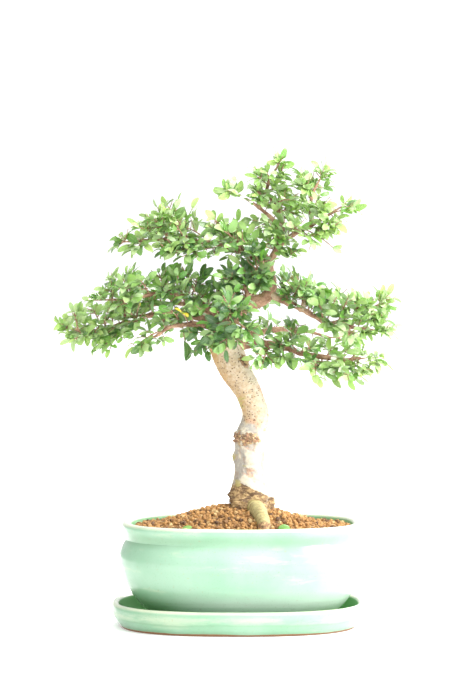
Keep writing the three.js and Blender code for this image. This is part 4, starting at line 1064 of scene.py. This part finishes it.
def bark_material(look):
    """Elm bark in the kinds that the wood's zones give: a brown ledged foot, grey-white plates in the middle,
    cream skin with dark pores above, and red-brown limbs. The right-facing side is painted paler and whiter
    as painted light, and on the left-facing side the upper trunk is a darker orange-brown and the plates are
    darker, as painted shade. Scabs are dark and crumbly, and fresh bark where a plate was shed is olive or
    pink."""
    material, tree, shader, _, place = start_material("elm_bark")
    zones = node(tree, "Attribute", attribute_name="tone", attribute_type="GEOMETRY")
    zone = node(tree, "SeparateXYZ", {0: (zones, 1)})
    blotch = speckle(tree, place, 85, 5, 0.62, (1, 1, 0.75))
    mottle = speckle(tree, place, 380, 5, 0.65)
    ledge = speckle(tree, place, 120, 5, 0.6, (1, 1, 3.2))
    facing = (node(tree, "SeparateXYZ", {0: (node(tree, "NewGeometry"), 1)}), 0)
    off = sums(tree, "SUBTRACT", blotch, 0.5)
    kind = sums(tree, "ADD", (zone, 0), sums(tree, "MULTIPLY", off, 1.6))
    kind = sums(tree, "ADD", kind, band(tree, facing, 0.0, 0.9, 0, 0.3))
    foot = blend_colour(tree, band(tree, mottle, 0.35, 0.66), (*look.foot, 1), (*look.foot_pale, 1))
    foot = blend_colour(tree, band(tree, ledge, 0.52, 0.43, 0, 0.9), foot, (*look.pore, 1))
    # Painted light and shade: the plates turn paler on the right-facing side and darker on the left-facing
    # one.
    lean = sums(tree, "ADD", blotch, sums(tree, "MULTIPLY", facing, 0.1))
    plate = blend_colour(tree, band(tree, lean, 0.43, 0.54), (*look.grey, 1), (*look.white, 1))
    plate = blend_colour(tree, band(tree, mottle, 0.4, 0.7, 0, 0.3), plate, (*look.cream, 1))
    streaks = speckle(tree, place, 260, 5, 0.7, (1, 1, 0.45))
    # Darker streaks of wear on the plates, more on the left-facing side as painted shade.
    worn_and_shaded = sums(tree, "MULTIPLY", band(tree, lean, 0.56, 0.46), band(tree, streaks, 0.5, 0.36, 0, 0.45))
    plate = blend_colour(tree, worn_and_shaded, plate, (*look.burl, 1))
    plate = blend_colour(tree, band(tree, streaks, 0.56, 0.66, 0, 0.5), plate, (*look.white, 1))
    tan = blend_colour(tree, band(tree, mottle, 0.35, 0.7), (*look.tan, 1), (*look.cream, 1))
    # Painted shade: the left-facing side of the upper trunk turns a darker orange-brown.
    shaded = sums(tree, "MULTIPLY", band(tree, facing, -0.15, -0.9), band(tree, blotch, 0.36, 0.6, 0.4, 1.0))
    tan = blend_colour(tree, shaded, tan, (*look.shaded_ochre, 1))
    # Painted light: the upper trunk turns white on its right-facing side.
    lit_right = band(tree, facing, 0.0, 0.8, 0, 0.85)
    lit_right = sums(tree, "MULTIPLY", lit_right, band(tree, (zone, 0), 2.6, 1.7, 0.3, 1.0))
    tan = blend_colour(tree, lit_right, tan, (*look.white, 1))
    skin = blend_colour(tree, band(tree, blotch, 0.38, 0.62), (*look.limb, 1), (*look.limb_pale, 1))
    skin = blend_colour(tree, band(tree, mottle, 0.52, 0.4, 0, 0.6), skin, (*look.limb, 1))
    colour = blend_colour(tree, band(tree, kind, 0.35, 0.65), foot, plate)
    colour = blend_colour(tree, band(tree, kind, 1.2, 1.8), colour, tan)
    colour = blend_colour(tree, band(tree, kind, 2.25, 2.75), colour, skin)
    flake = sums(tree, "SUBTRACT", ledge, 0.5)
    ragged = sums(tree, "MULTIPLY", sums(tree, "SUBTRACT", mottle, 0.5), 1.2)
    fresh = sums(tree, "ADD", (zone, 2), sums(tree, "ADD", sums(tree, "MULTIPLY", flake, 2.2), ragged))
    colour = blend_colour(tree, band(tree, fresh, -0.3, -0.65, 0, 0.85), colour, (*look.olive, 1))
    colour = blend_colour(tree, band(tree, fresh, 0.4, 0.85, 0, 0.5), colour, (*look.pink, 1))
    # Folds across the front root: stripes along its run, which wander a little.
    run = (node(tree, "VectorMath", {0: place, 1: (0.25, -0.85, -0.45)}, operation="DOT_PRODUCT"), 1)
    run = sums(tree, "ADD", sums(tree, "MULTIPLY", run, 1500.0), sums(tree, "MULTIPLY", blotch, 16.0))
    fold = band(tree, (node(tree, "Math", {0: run}, operation="SINE"), 0), 0.35, 1.0)
    fold = sums(tree, "MULTIPLY", fold, band(tree, (zone, 2), -0.5, -0.9))
    fold = sums(tree, "MULTIPLY", fold, band(tree, (zone, 0), 0.9, 0.6))
    colour = blend_colour(tree, sums(tree, "MULTIPLY", fold, 0.55), colour, (*look.foot, 1))
    pores = node(
        tree,
        "TexVoronoi",
        {"Vector": (node(tree, "Mapping", {"Vector": place, "Scale": (1, 1, 1.5)}), 0), "Scale": 385},
    )
    some = band(tree, speckle(tree, place, 90, 3, 0.5), 0.36, 0.54)
    dots = sums(tree, "MULTIPLY", band(tree, (pores, 0), 0.3, 0.19), some)
    dots = sums(tree, "MULTIPLY", dots, band(tree, (zone, 0), 1.0, 1.9, 0.1, 0.9))
    dots = sums(tree, "MULTIPLY", dots, band(tree, (zone, 0), 2.7, 2.2))
    colour = blend_colour(tree, dots, colour, (*look.pore, 1))
    crumb = speckle(tree, place, 300, 6, 0.72)
    ragged = sums(tree, "MULTIPLY", sums(tree, "SUBTRACT", speckle(tree, place, 130, 4, 0.6), 0.5), 1.6)
    scab = sums(tree, "ADD", (zone, 1), sums(tree, "MULTIPLY", sums(tree, "SUBTRACT", crumb, 0.5), 1.3))
    scab = sums(tree, "ADD", scab, ragged)
    rough_bark = blend_colour(tree, band(tree, mottle, 0.42, 0.6), (*look.burl, 1), (*look.pore, 1))
    rough_bark = blend_colour(tree, band(tree, crumb, 0.5, 0.6), rough_bark, (*look.foot_pale, 1))
    scab = band(tree, scab, 0.44, 0.54, 0, 0.92)
    colour = blend_colour(tree, scab, colour, rough_bark)
    tree.links.new(colour[0].outputs[2], shader.inputs["Base Color"])
    shader.inputs["Roughness"].default_value = 0.78
    relief = sums(tree, "ADD", sums(tree, "MULTIPLY", mottle, 0.6), band(tree, blotch, 0.44, 0.5, 0, 0.6))
    relief = sums(tree, "SUBTRACT", relief, sums(tree, "MULTIPLY", dots, 0.8))
    relief = sums(tree, "ADD", relief, sums(tree, "MULTIPLY", scab, crumb))
    relief = sums(tree, "SUBTRACT", relief, sums(tree, "MULTIPLY", fold, 1.2))
    relief = sums(tree, "ADD", relief, sums(tree, "MULTIPLY", band(tree, kind, 0.6, 0.3), ledge))
    raise_surface(tree, shader, relief, 0.0007, 0.8)
    return material


def twig_material(look):
    """Young bark: red-brown, with fine grain and pale pores."""
    material, tree, shader, _, place = start_material("twig_bark")
    grain = speckle(tree, place, 600, 5, 0.6)
    colour = blend_colour(tree, band(tree, grain, 0.35, 0.7), (*look.limb, 1), (*look.limb_pale, 1))
    pores = node(tree, "TexVoronoi", {"Vector": place, "Scale": 900})
    colour = blend_colour(tree, band(tree, (pores, 0), 0.25, 0.12, 0, 0.6), colour, (*look.cream, 1))
    tree.links.new(colour[0].outputs[2], shader.inputs["Base Color"])
    shader.inputs["Roughness"].default_value = 0.7
    raise_surface(tree, shader, grain, 0.0003, 0.6)
    return material


def leaf_material(look):
    """Elm leaf: a shade from its tone, from yellow-green when young to deep green, whose palest green is a
    painted reflection of the sky, a paler rib and side veins that run to the teeth, a paler dull underside, a
    satin skin and light that glows through."""
    material, tree, shader, output, place = start_material("living_elm_leaf")
    tone = node(tree, "Attribute", attribute_name="tone", attribute_type="GEOMETRY")
    parts = node(tree, "SeparateXYZ", {0: (tone, 1)})
    map_at = node(tree, "UVMap", uv_map="blade")
    spot = node(tree, "SeparateXYZ", {0: (map_at, 0)})
    under = band(tree, (spot, 1), 1.4, 1.6)
    v = sums(tree, "SUBTRACT", (spot, 1), sums(tree, "MULTIPLY", under, 2.0))
    from_rib = (node(tree, "Math", {0: sums(tree, "SUBTRACT", v, 0.5), 1: 2.0}, operation="MULTIPLY"), 0)
    from_rib = (node(tree, "Math", {0: from_rib}, operation="ABSOLUTE"), 0)
    greens = node(tree, "ValToRGB", {"Fac": (parts, 1)})
    ramp = greens.color_ramp
    # The ramp runs to the palest green, a painted reflection of the sky on a leaf's upper face.
    ramp.elements[0].color, ramp.elements[1].color = (*look.deep, 1), (*look.pale, 1)
    for share, green in ((0.3, look.deep), (0.42, look.vivid), (0.64, look.mid)):
        ramp.elements.new(share).color = (*green, 1)
    colour = blend_colour(tree, (parts, 0), (greens, 0), (*look.young, 1))
    colour = blend_colour(tree, (parts, 2), colour, (*look.yellow, 1))
    cloud = speckle(tree, place, 240, 4, 0.6)
    colour = blend_colour(tree, band(tree, cloud, 0.35, 0.7, 0, 0.16), colour, (*look.mid, 1))
    rib = band(tree, from_rib, 0.1, 0.02)
    # Side veins: stripes across the share, which slant forward with the distance from the rib.
    run = sums(tree, "MULTIPLY", (spot, 0), 60.0)
    run = sums(tree, "SUBTRACT", run, sums(tree, "MULTIPLY", from_rib, 9.0))
    vein = (node(tree, "Math", {0: run}, operation="SINE"), 0)
    vein = band(tree, vein, 0.82, 1.0, 0, 0.6)
    line = (node(tree, "Math", {0: rib, 1: vein}, operation="MAXIMUM"), 0)
    colour = blend_colour(tree, sums(tree, "MULTIPLY", line, 0.55), colour, (*look.rib, 1))
    colour = blend_colour(tree, sums(tree, "MULTIPLY", under, 0.5), colour, (*look.underside, 1))
    tree.links.new(colour[0].outputs[2], shader.inputs["Base Color"])
    gloss = blend_value(tree, under, look.gloss, 0.62)
    tree.links.new(gloss[0].outputs[0], shader.inputs["Roughness"])
    relief = sums(tree, "SUBTRACT", sums(tree, "MULTIPLY", cloud, 0.4), line)
    raise_surface(tree, shader, relief, 0.0002, 0.6)
    shader.inputs["Coat Weight"].default_value = 0.8
    shader.inputs["Coat Roughness"].default_value = 0.18
    through = blend_colour(tree, 0.5, colour, (*look.through, 1))
    glow = node(tree, "BsdfTranslucent", {"Color": through})
    mix = node(tree, "MixShader", {0: look.glow, 1: (shader, 0), 2: (glow, 0)})
    tree.links.new(mix.outputs[0], output.inputs["Surface"])
    return material


DRAIN_BLACK = (0.018, 0.018, 0.019, 1)
DRAIN_SCUFF = (0.07, 0.068, 0.064, 1)


def drain_material():
    """Moulded black plastic with a fine grain and scuffed, greyer patches."""
    material, tree, shader, _, place = start_material("drain_plastic")
    grain = speckle(tree, place, 1500, 4, 0.6)
    scuff = speckle(tree, place, 220, 4, 0.7)
    colour = blend_colour(tree, band(tree, scuff, 0.5, 0.75), DRAIN_BLACK, DRAIN_SCUFF)
    tree.links.new(colour[0].outputs[2], shader.inputs["Base Color"])
    shader.inputs["Roughness"].default_value = 0.55
    raise_surface(tree, shader, grain, 0.0002, 0.5)
    return material


# Settings


def shade(title, text, value):
    """A colour setting."""
    return bpy.props.FloatVectorProperty(
        name=title, description=text, subtype="COLOR", size=3, min=0, max=1, default=value
    )


class GlazeLook(bpy.types.PropertyGroup):
    """Colours and gloss of the pot and the saucer."""

    glaze: shade("Glaze", "Colour of the celadon glaze", (0.24, 0.43, 0.29))
    thin_glaze: shade("Thin glaze", "Colour of the glaze's paler clouds", (0.305, 0.48, 0.355))
    # Also painted as shade on the left of the pot and the saucer.
    deep_glaze_and_shade: shade("Deep glaze", "Colour where the glaze pools", (0.105, 0.235, 0.105))
    # Painted light: a paler glaze painted low on the pot's front and right.
    painted_light_glaze: shade("Milky glaze", "Colour where the glaze is cloudy", (0.60, 0.72, 0.62))
    # Also painted shade: the darker inside of the saucer and of the pot's lip.
    inner_glaze_and_shade: shade("Inner glaze", "Colour of the pooled glaze inside", (0.125, 0.35, 0.105))
    edge_glaze: shade("Edge glaze", "Colour where the glaze runs thin on an edge", (0.56, 0.58, 0.42))
    clay: shade("Bare clay", "Colour of the unglazed foot", (0.30, 0.15, 0.075))
    gloss: bpy.props.FloatProperty(
        name="Glaze roughness", description="Roughness of the glaze", default=0.14, min=0.02, max=0.8
    )


class SoilLook(bpy.types.PropertyGroup):
    """Sizes and colours of the clay granules."""

    spacing: bpy.props.FloatProperty(
        name="Granule spacing", description="Distance between granules of the lower layer", default=0.0026,
        min=0.002, max=0.01, unit="LENGTH",
    )
    size: bpy.props.FloatProperty(
        name="Granule size", description="Mean size of a granule", default=0.0036, min=0.002, max=0.01,
        unit="LENGTH",
    )
    orange_clay: shade("Orange clay", "Colour of most granules", (0.525, 0.285, 0.098))
    brown_clay: shade("Brown clay", "Colour of the browner granules", (0.29, 0.15, 0.06))
    dark_clay: shade("Dark clay", "Colour of the darkest granules", (0.085, 0.05, 0.035))
    pale_clay: shade("Pale clay", "Colour of the palest granules", (0.64, 0.48, 0.235))


class BarkLook(bpy.types.PropertyGroup):
    """Colours of the trunk, roots and limbs."""

    tan: shade("Tan", "Upper trunk", (0.43, 0.315, 0.19))
    cream: shade("Cream", "Upper trunk's paler parts", (0.545, 0.45, 0.335))
    # Painted shade on the left-facing side.
    shaded_ochre: shade("Ochre", "Upper trunk's side that faces left", (0.38, 0.225, 0.08))
    grey: shade("Grey", "Darker plates in the middle of the trunk", (0.32, 0.30, 0.265))
    # Also painted as light on the right-facing side.
    white: shade("White", "Paler plates in the middle of the trunk", (0.54, 0.49, 0.38))
    pink: shade("Pink", "Pink bark under shed plates", (0.50, 0.25, 0.14))
    olive: shade("Olive", "Olive bark under shed plates and on the front root", (0.38, 0.32, 0.115))
    foot: shade("Foot", "Ledged bark at the soil", (0.165, 0.092, 0.04))
    foot_pale: shade("Pale foot", "Paler ledges at the soil", (0.51, 0.355, 0.165))
    burl: shade("Burl", "Rough burls and scabs", (0.33, 0.17, 0.09))
    limb: shade("Limb", "Limbs and twigs", (0.20, 0.10, 0.055))
    limb_pale: shade("Pale limb", "Paler parts of limbs and twigs", (0.50, 0.31, 0.20))
    pore: shade("Pores", "Dark pores and cracks", (0.10, 0.055, 0.028))


class LeafLook(bpy.types.PropertyGroup):
    """Shape and colours of the leaves."""

    width_share: bpy.props.FloatProperty(
        name="Width", description="Width of a leaf as a share of its length", default=0.48, min=0.3, max=0.8
    )
    thickness: bpy.props.FloatProperty(
        name="Thickness", description="Thickness of a leaf at its rib", default=0.0004, min=0.0001, max=0.001,
        unit="LENGTH",
    )
    deep: shade("Deep green", "Older leaves", (0.038, 0.125, 0.048))
    vivid: shade("Vivid green", "The brightest leaves", (0.13, 0.40, 0.045))
    mid: shade("Mid green", "Most leaves", (0.39, 0.60, 0.21))
    # Painted reflection: the sky's sheen painted on some leaves as a paler green.
    pale: shade("Pale green", "Leaves with a waxy bloom", (0.58, 0.69, 0.47))
    young: shade("Young green", "New leaves at the tips", (0.57, 0.71, 0.25))
    through: shade("Backlit green", "Light that has passed through a leaf", (0.62, 0.86, 0.12))
    yellow: shade("Yellow", "The few leaves that have turned", (0.66, 0.48, 0.01))
    rib: shade("Rib", "Rib and veins", (0.42, 0.56, 0.28))
    underside: shade("Underside", "Lower face of a leaf", (0.36, 0.50, 0.28))
    gloss: bpy.props.FloatProperty(
        name="Leaf roughness", description="Roughness of a leaf's upper face", default=0.38, min=0.05, max=1
    )
    glow: bpy.props.FloatProperty(
        name="Glow", description="Share of the light that passes through a leaf", default=0.4, min=0, max=0.8,
        subtype="FACTOR",
    )


class StageLook(bpy.types.PropertyGroup):
    """Camera distance, floor and light."""

    distance: bpy.props.FloatProperty(
        name="Camera distance", description="From the camera to the trunk", default=2.2, min=0.5, max=6,
        unit="LENGTH",
    )
    floor: shade("Floor", "Colour of the floor", (0.93, 0.93, 0.92))
    floor_glow: bpy.props.FloatProperty(
        name="Floor glow", description="Light that comes through the floor, as on a light table",
        default=0.25, min=0, max=2,
    )
    left_wall: bpy.props.FloatProperty(
        name="Left light", description="Strength of the room's light from the left",
        default=0.72, min=0, max=4,
    )
    right_wall: bpy.props.FloatProperty(
        name="Right light", description="Strength of the room's light from the right",
        default=2.3, min=0, max=6,
    )
    ceiling: bpy.props.FloatProperty(
        name="Ceiling light", description="How much stronger the room's light is overhead",
        default=1.15, min=0.5, max=4,
    )
    front: bpy.props.FloatProperty(
        name="Front light", description="How much stronger the room's light is from the camera's side",
        default=1.4, min=0.5, max=4,
    )
    key: bpy.props.FloatProperty(
        name="Key light", description="Power of the large light on the right",
        default=62.0, min=0, max=500, unit="POWER",
    )


# Operators


class BONSAI_OT_saucer(bpy.types.Operator):
    """Throws and glazes the drip saucer"""

    bl_idname = "bonsai.saucer"
    bl_label = "Fire the Saucer"

    def execute(self, context):
        skin = Skin()
        rings, ends = oval_shell(profile_of(SAUCER_RUNS, SAUCER_SPACING), SAUCER_SIDES, SAUCER_SHIFT)
        skin.add(rings[None], ends[None])
        glaze = glaze_material(context.scene.bonsai_glaze, "saucer_glaze", **SAUCER_GLAZE)
        settle(skin.piece("glazed_saucer", 50), glaze, ["saucer"])
        return {"FINISHED"}


class BONSAI_OT_pot(bpy.types.Operator):
    """Throws and glazes the oval pot, with its foot notches and drainage holes"""

    bl_idname = "bonsai.pot"
    bl_label = "Fire the Pot"

    def execute(self, context):
        skin = Skin()
        rings, ends = oval_shell(profile_of(POT_RUNS, POT_SPACING), POT_SIDES)
        inner, half, top = FOOT_NOTCH
        notch = (np.abs(rings[..., 0]) > inner) & (np.abs(rings[..., 1]) < half) & (rings[..., 2] < top)
        rings[..., 2] = np.where(notch, top, rings[..., 2])
        skin.add(rings[None], ends[None])
        pot = skin.piece("glazed_pot", 50)
        radius, along, height = DRAIN_HOLES
        drill(pot, radius, [(-along, 0, height), (along, 0, height)])
        glaze = glaze_material(context.scene.bonsai_glaze, "pot_glaze", **POT_GLAZE)
        settle(pot, glaze, ["pot"])
        return {"FINISHED"}


class BONSAI_OT_drains(bpy.types.Operator):
    """Finishes the two squares of plastic mesh over the drainage holes"""

    bl_idname = "bonsai.drains"
    bl_label = "Lay the Drain Mesh"

    def execute(self, context):
        plastic = drain_material()
        for name in ("drain_mesh_left", "drain_mesh_right"):
            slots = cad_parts[name].data.materials
            slots.clear()
            slots.append(plastic)
        return {"FINISHED"}


class BONSAI_OT_soil(bpy.types.Operator):
    """Fills the pot with clay granules"""

    bl_idname = "bonsai.soil"
    bl_label = "Fill the Soil"

    def execute(self, context):
        look = context.scene.bonsai_soil
        wall = np.array(BED_WALL, float)
        top = np.column_stack([np.linspace(wall[-1, 0], 0, 40)[1:], np.full(39, SOIL_EDGE)])
        rings, ends = oval_shell(np.vstack([wall, top]), BED_SIDES)
        bed = rings[len(wall) - 1 :]
        bed[..., 2] = soil_height(bed[..., 0], bed[..., 1]) - BED_BELOW + 0.5 * ripple(bed, 7, 3)
        ends[1, 2] = soil_height(0, 0) - BED_BELOW
        skin = Skin()
        skin.add(rings[None], ends[None])
        settle(skin.piece("soil_bed", 60), bed_material(look), ["soil"])

        clay = granule_material(look)
        for name, spread, lift, seed in GRANULE_LAYERS:
            rng = np.random.default_rng(seed)
            flat = granule_spots(spread * look.spacing / MM, seed)
            sizes = look.size / MM * rng.uniform(0.6, 1.35, len(flat))
            high = soil_height(*flat.T) + lift * sizes + rng.uniform(-0.5, 0.5, len(flat))
            spots = np.column_stack([flat, high])
            rings, ends, tones = granule_lumps(spots, sizes, seed + 10)
            skin = Skin()
            skin.add(rings, ends, tones)
            settle(skin.piece(name, 24), clay, ["soil"])
        return {"FINISHED"}


class BONSAI_OT_wood(bpy.types.Operator):
    """Grows the trunk, its roots and its limbs"""

    bl_idname = "bonsai.wood"
    bl_label = "Grow the Wood"

    def execute(self, context):
        skin = Skin()
        parts = [trunk_surface(TRUNK_ROWS, TRUNK_SIDES)]
        for number, root in enumerate(ROOTS):
            parts.append(root_surface(root, ROOT_ROWS, ROOT_SIDES, ROOT_SEED + ROOT_SEED_STEP * number))
        for number, name in enumerate(LIMBS):
            parts.append(limb_surface(name, LIMB_SIDES, LIMB_SEED + LIMB_SEED_STEP * number))
        for rings, ends, zones in parts:
            skin.add(rings[None], ends[None], zones)
        settle(skin.piece("trunk_and_limbs", 70), bark_material(context.scene.bonsai_bark), ["tree"])
        return {"FINISHED"}


class BONSAI_OT_sprays(bpy.types.Operator):
    """Grows the twigs and leaves of every limb"""

    bl_idname = "bonsai.sprays"
    bl_label = "Grow the Sprays"

    def execute(self, context):
        look = context.scene.bonsai_leaf
        leaf, bark = leaf_material(look), twig_material(context.scene.bonsai_bark)
        for number, limb in enumerate(LIMBS):
            own = [(i, s) for i, s in enumerate(SPRAYS + FILLING) if s[0] == limb]
            if not own:
                continue
            nodes = [f"spray_{i + 1:02d}" for i, _ in own if i < len(SPRAYS)]
            twig_skin, leaf_skin = Skin(), Skin()
            grown = [spray_of(limb, share, tip, i) for i, (_, share, *tip) in own]
            grown.append(tufts_of(limb, TUFT_SEED + number))
            shoots, accents, accent_tones = shoots_of(limb, SHOOT_SEED + number)
            for centres, radii in [twig for twigs, _ in grown for twig in twigs] + shoots:
                rings, _ = rings_round(centres, radii[:, None], TWIG_SIDES)
                twig_skin.add(rings[None], centres[None, [0, -1]])
            leaves = np.vstack([rows for _, rows in grown])
            tones = np.vstack([leaf_tones(leaves, TONE_SEED + number), accent_tones])
            rings, ends = blade_rings(np.vstack([leaves, accents]), look, BLADE_SEED + number)
            leaf_skin.add(rings, ends, tones, blade_map)
            settle(twig_skin.piece(f"twigs_{limb}", 60), bark, nodes)
            settle(leaf_skin.piece(f"leaves_{limb}", 60), leaf, nodes)
        return {"FINISHED"}


class BONSAI_OT_fallen(bpy.types.Operator):
    """Drops a few leaves on the soil"""

    bl_idname = "bonsai.fallen"
    bl_label = "Drop Leaves"

    def execute(self, context):
        look = context.scene.bonsai_leaf
        x, y, turn, length, green = np.array(FALLEN_LEAVES).T
        turn = np.radians(turn)
        foot = np.column_stack([x, y, soil_height(x, y) + FALLEN_LIFT])
        axis = np.column_stack([np.cos(turn), np.sin(turn), np.zeros(len(x))])
        normal = unit(np.tile(FALLEN_FACE, (len(x), 1)))
        normal = unit(normal - axis * (normal * axis).sum(-1, keepdims=True))
        leaves = np.column_stack([foot, axis, normal, length, 0 * x + 0.5])
        rings, ends = blade_rings(leaves, look, FALLEN_SEED, 0.0)
        skin = Skin()
        skin.add(rings, ends, np.column_stack([0 * x, green, 0 * x]), blade_map)
        settle(skin.piece("fallen_leaves", 60), bpy.data.materials["living_elm_leaf"])
        return {"FINISHED"}


# The stage, in metres.
FLOOR_HALF = 9.0
LAMPS = (  # name, share of the key light's power, size, where it stands and where it points
    ("key_light", 1.0, 1.2, (1.7, -0.8, 1.35), (0.0, 0.0, 0.2)),
    ("back_light", 0.7, 1.4, (0.5, 1.6, 1.5), (0.0, 0.0, 0.25)),
)
SENSOR = 36.0  # height of the camera's sensor in millimetres
VIEW_HEIGHT = 0.56  # how much of the trunk's upright plane the picture takes in
VIEW_SIDE = -0.0141  # where the camera stands along X
CAMERA_HEIGHT, AIM_HEIGHT = 0.304, 0.239


class BONSAI_OT_stage(bpy.types.Operator):
    """Lays the pale floor and sets the camera and the soft lights"""

    bl_idname = "bonsai.stage"
    bl_label = "Set the Stage"

    def execute(self, context):
        look = context.scene.bonsai_stage
        mesh = bpy.data.meshes.new("floor")
        corners = [(x * FLOOR_HALF, y * FLOOR_HALF, 0) for x, y in ((-1, -1), (1, -1), (1, 1), (-1, 1))]
        mesh.from_pydata(corners, [], [(0, 1, 2, 3)])
        floor = bpy.data.objects.new("floor", mesh)
        context.scene.collection.objects.link(floor)
        material, tree, shader, _, place = start_material("white_table")
        grain = speckle(tree, place, 30, 3, 0.5)
        colour = blend_colour(tree, grain, (*look.floor, 1), (*(0.985 * c for c in look.floor), 1))
        tree.links.new(colour[0].outputs[2], shader.inputs["Base Color"])
        shader.inputs["Roughness"].default_value = 0.6
        shader.inputs["Emission Color"].default_value = (1, 1, 1, 1)
        shader.inputs["Emission Strength"].default_value = look.floor_glow
        mesh.materials.append(material)

        world = bpy.data.worlds.new("white_room")
        world.use_nodes = True
        room = world.node_tree
        glow = room.nodes["Background"]
        glow.inputs["Color"].default_value = (1, 1, 1, 1)
        ways = node(room, "TexCoord")
        side = node(room, "SeparateXYZ", {0: (ways, 0)})
        strength = band(room, (side, 0), -0.9, 0.9, look.left_wall, look.right_wall)
        overhead = band(room, (side, 2), -0.1, 0.9, 0.78, look.ceiling)
        ahead = band(room, (side, 1), 0.3, -0.9, 1.0, look.front)
        strength = sums(room, "MULTIPLY", sums(room, "MULTIPLY", strength, overhead), ahead)
        room.links.new(strength[0].outputs[0], glow.inputs["Strength"])
        context.scene.world = world

        for name, share, size, spot, aim in LAMPS:
            light = bpy.data.lights.new(name, "AREA")
            light.energy, light.size = share * look.key, size
            lamp = bpy.data.objects.new(name, light)
            context.scene.collection.objects.link(lamp)
            aim_at(lamp, spot, aim)

        camera = bpy.data.cameras.new("camera")
        camera.sensor_fit, camera.sensor_height = "VERTICAL", SENSOR
        camera.lens = SENSOR * look.distance / VIEW_HEIGHT
        seat = bpy.data.objects.new("camera", camera)
        context.scene.collection.objects.link(seat)
        aim_at(seat, (VIEW_SIDE, -look.distance, CAMERA_HEIGHT), (VIEW_SIDE, 0, AIM_HEIGHT))
        context.scene.camera = seat
        context.scene.view_settings.view_transform = "Standard"
        return {"FINISHED"}


def aim_at(thing, spot, aim):
    """Stands a lamp or camera at a spot and turns it towards a point."""
    way = Vector(aim) - Vector(spot)
    thing.location = spot
    thing.rotation_euler = way.to_track_quat("-Z", "Y").to_euler()


class VIEW3D_PT_bonsai(bpy.types.Panel):
    """Lists the pieces of the bonsai and their settings"""

    bl_label = "Chinese Elm Bonsai"
    bl_space_type = "VIEW_3D"
    bl_region_type = "UI"
    bl_category = "Bonsai"

    def draw(self, context):
        for title, group, operators in STEPS:
            box = self.layout.box()
            box.label(text=title)
            look = getattr(context.scene, group)
            for key in type(look).__annotations__:
                box.prop(look, key)
            for operator in operators:
                box.operator(operator)


STEPS = (
    ("Pot and saucer", "bonsai_glaze", ("bonsai.saucer", "bonsai.pot", "bonsai.drains")),
    ("Soil", "bonsai_soil", ("bonsai.soil",)),
    ("Wood", "bonsai_bark", ("bonsai.wood",)),
    ("Leaves", "bonsai_leaf", ("bonsai.sprays", "bonsai.fallen")),
    ("Stage", "bonsai_stage", ("bonsai.stage",)),
)
LOOKS = {
    "bonsai_glaze": GlazeLook,
    "bonsai_soil": SoilLook,
    "bonsai_bark": BarkLook,
    "bonsai_leaf": LeafLook,
    "bonsai_stage": StageLook,
}
CLASSES = (
    *LOOKS.values(),
    BONSAI_OT_saucer,
    BONSAI_OT_pot,
    BONSAI_OT_drains,
    BONSAI_OT_soil,
    BONSAI_OT_wood,
    BONSAI_OT_sprays,
    BONSAI_OT_fallen,
    BONSAI_OT_stage,
    VIEW3D_PT_bonsai,
)


def register():
    for one in CLASSES:
        bpy.utils.register_class(one)
    for name, look in LOOKS.items():
        setattr(bpy.types.Scene, name, bpy.props.PointerProperty(type=look))


def unregister():
    for name in LOOKS:
        delattr(bpy.types.Scene, name)
    for one in reversed(CLASSES):
        bpy.utils.unregister_class(one)


def main():
    register()
    bpy.ops.bonsai.saucer()
    bpy.ops.bonsai.pot()
    bpy.ops.bonsai.drains()
    bpy.ops.bonsai.soil()
    bpy.ops.bonsai.wood()
    bpy.ops.bonsai.sprays()
    bpy.ops.bonsai.fallen()
    bpy.ops.bonsai.stage()


if __name__ == "__main__":
    main()
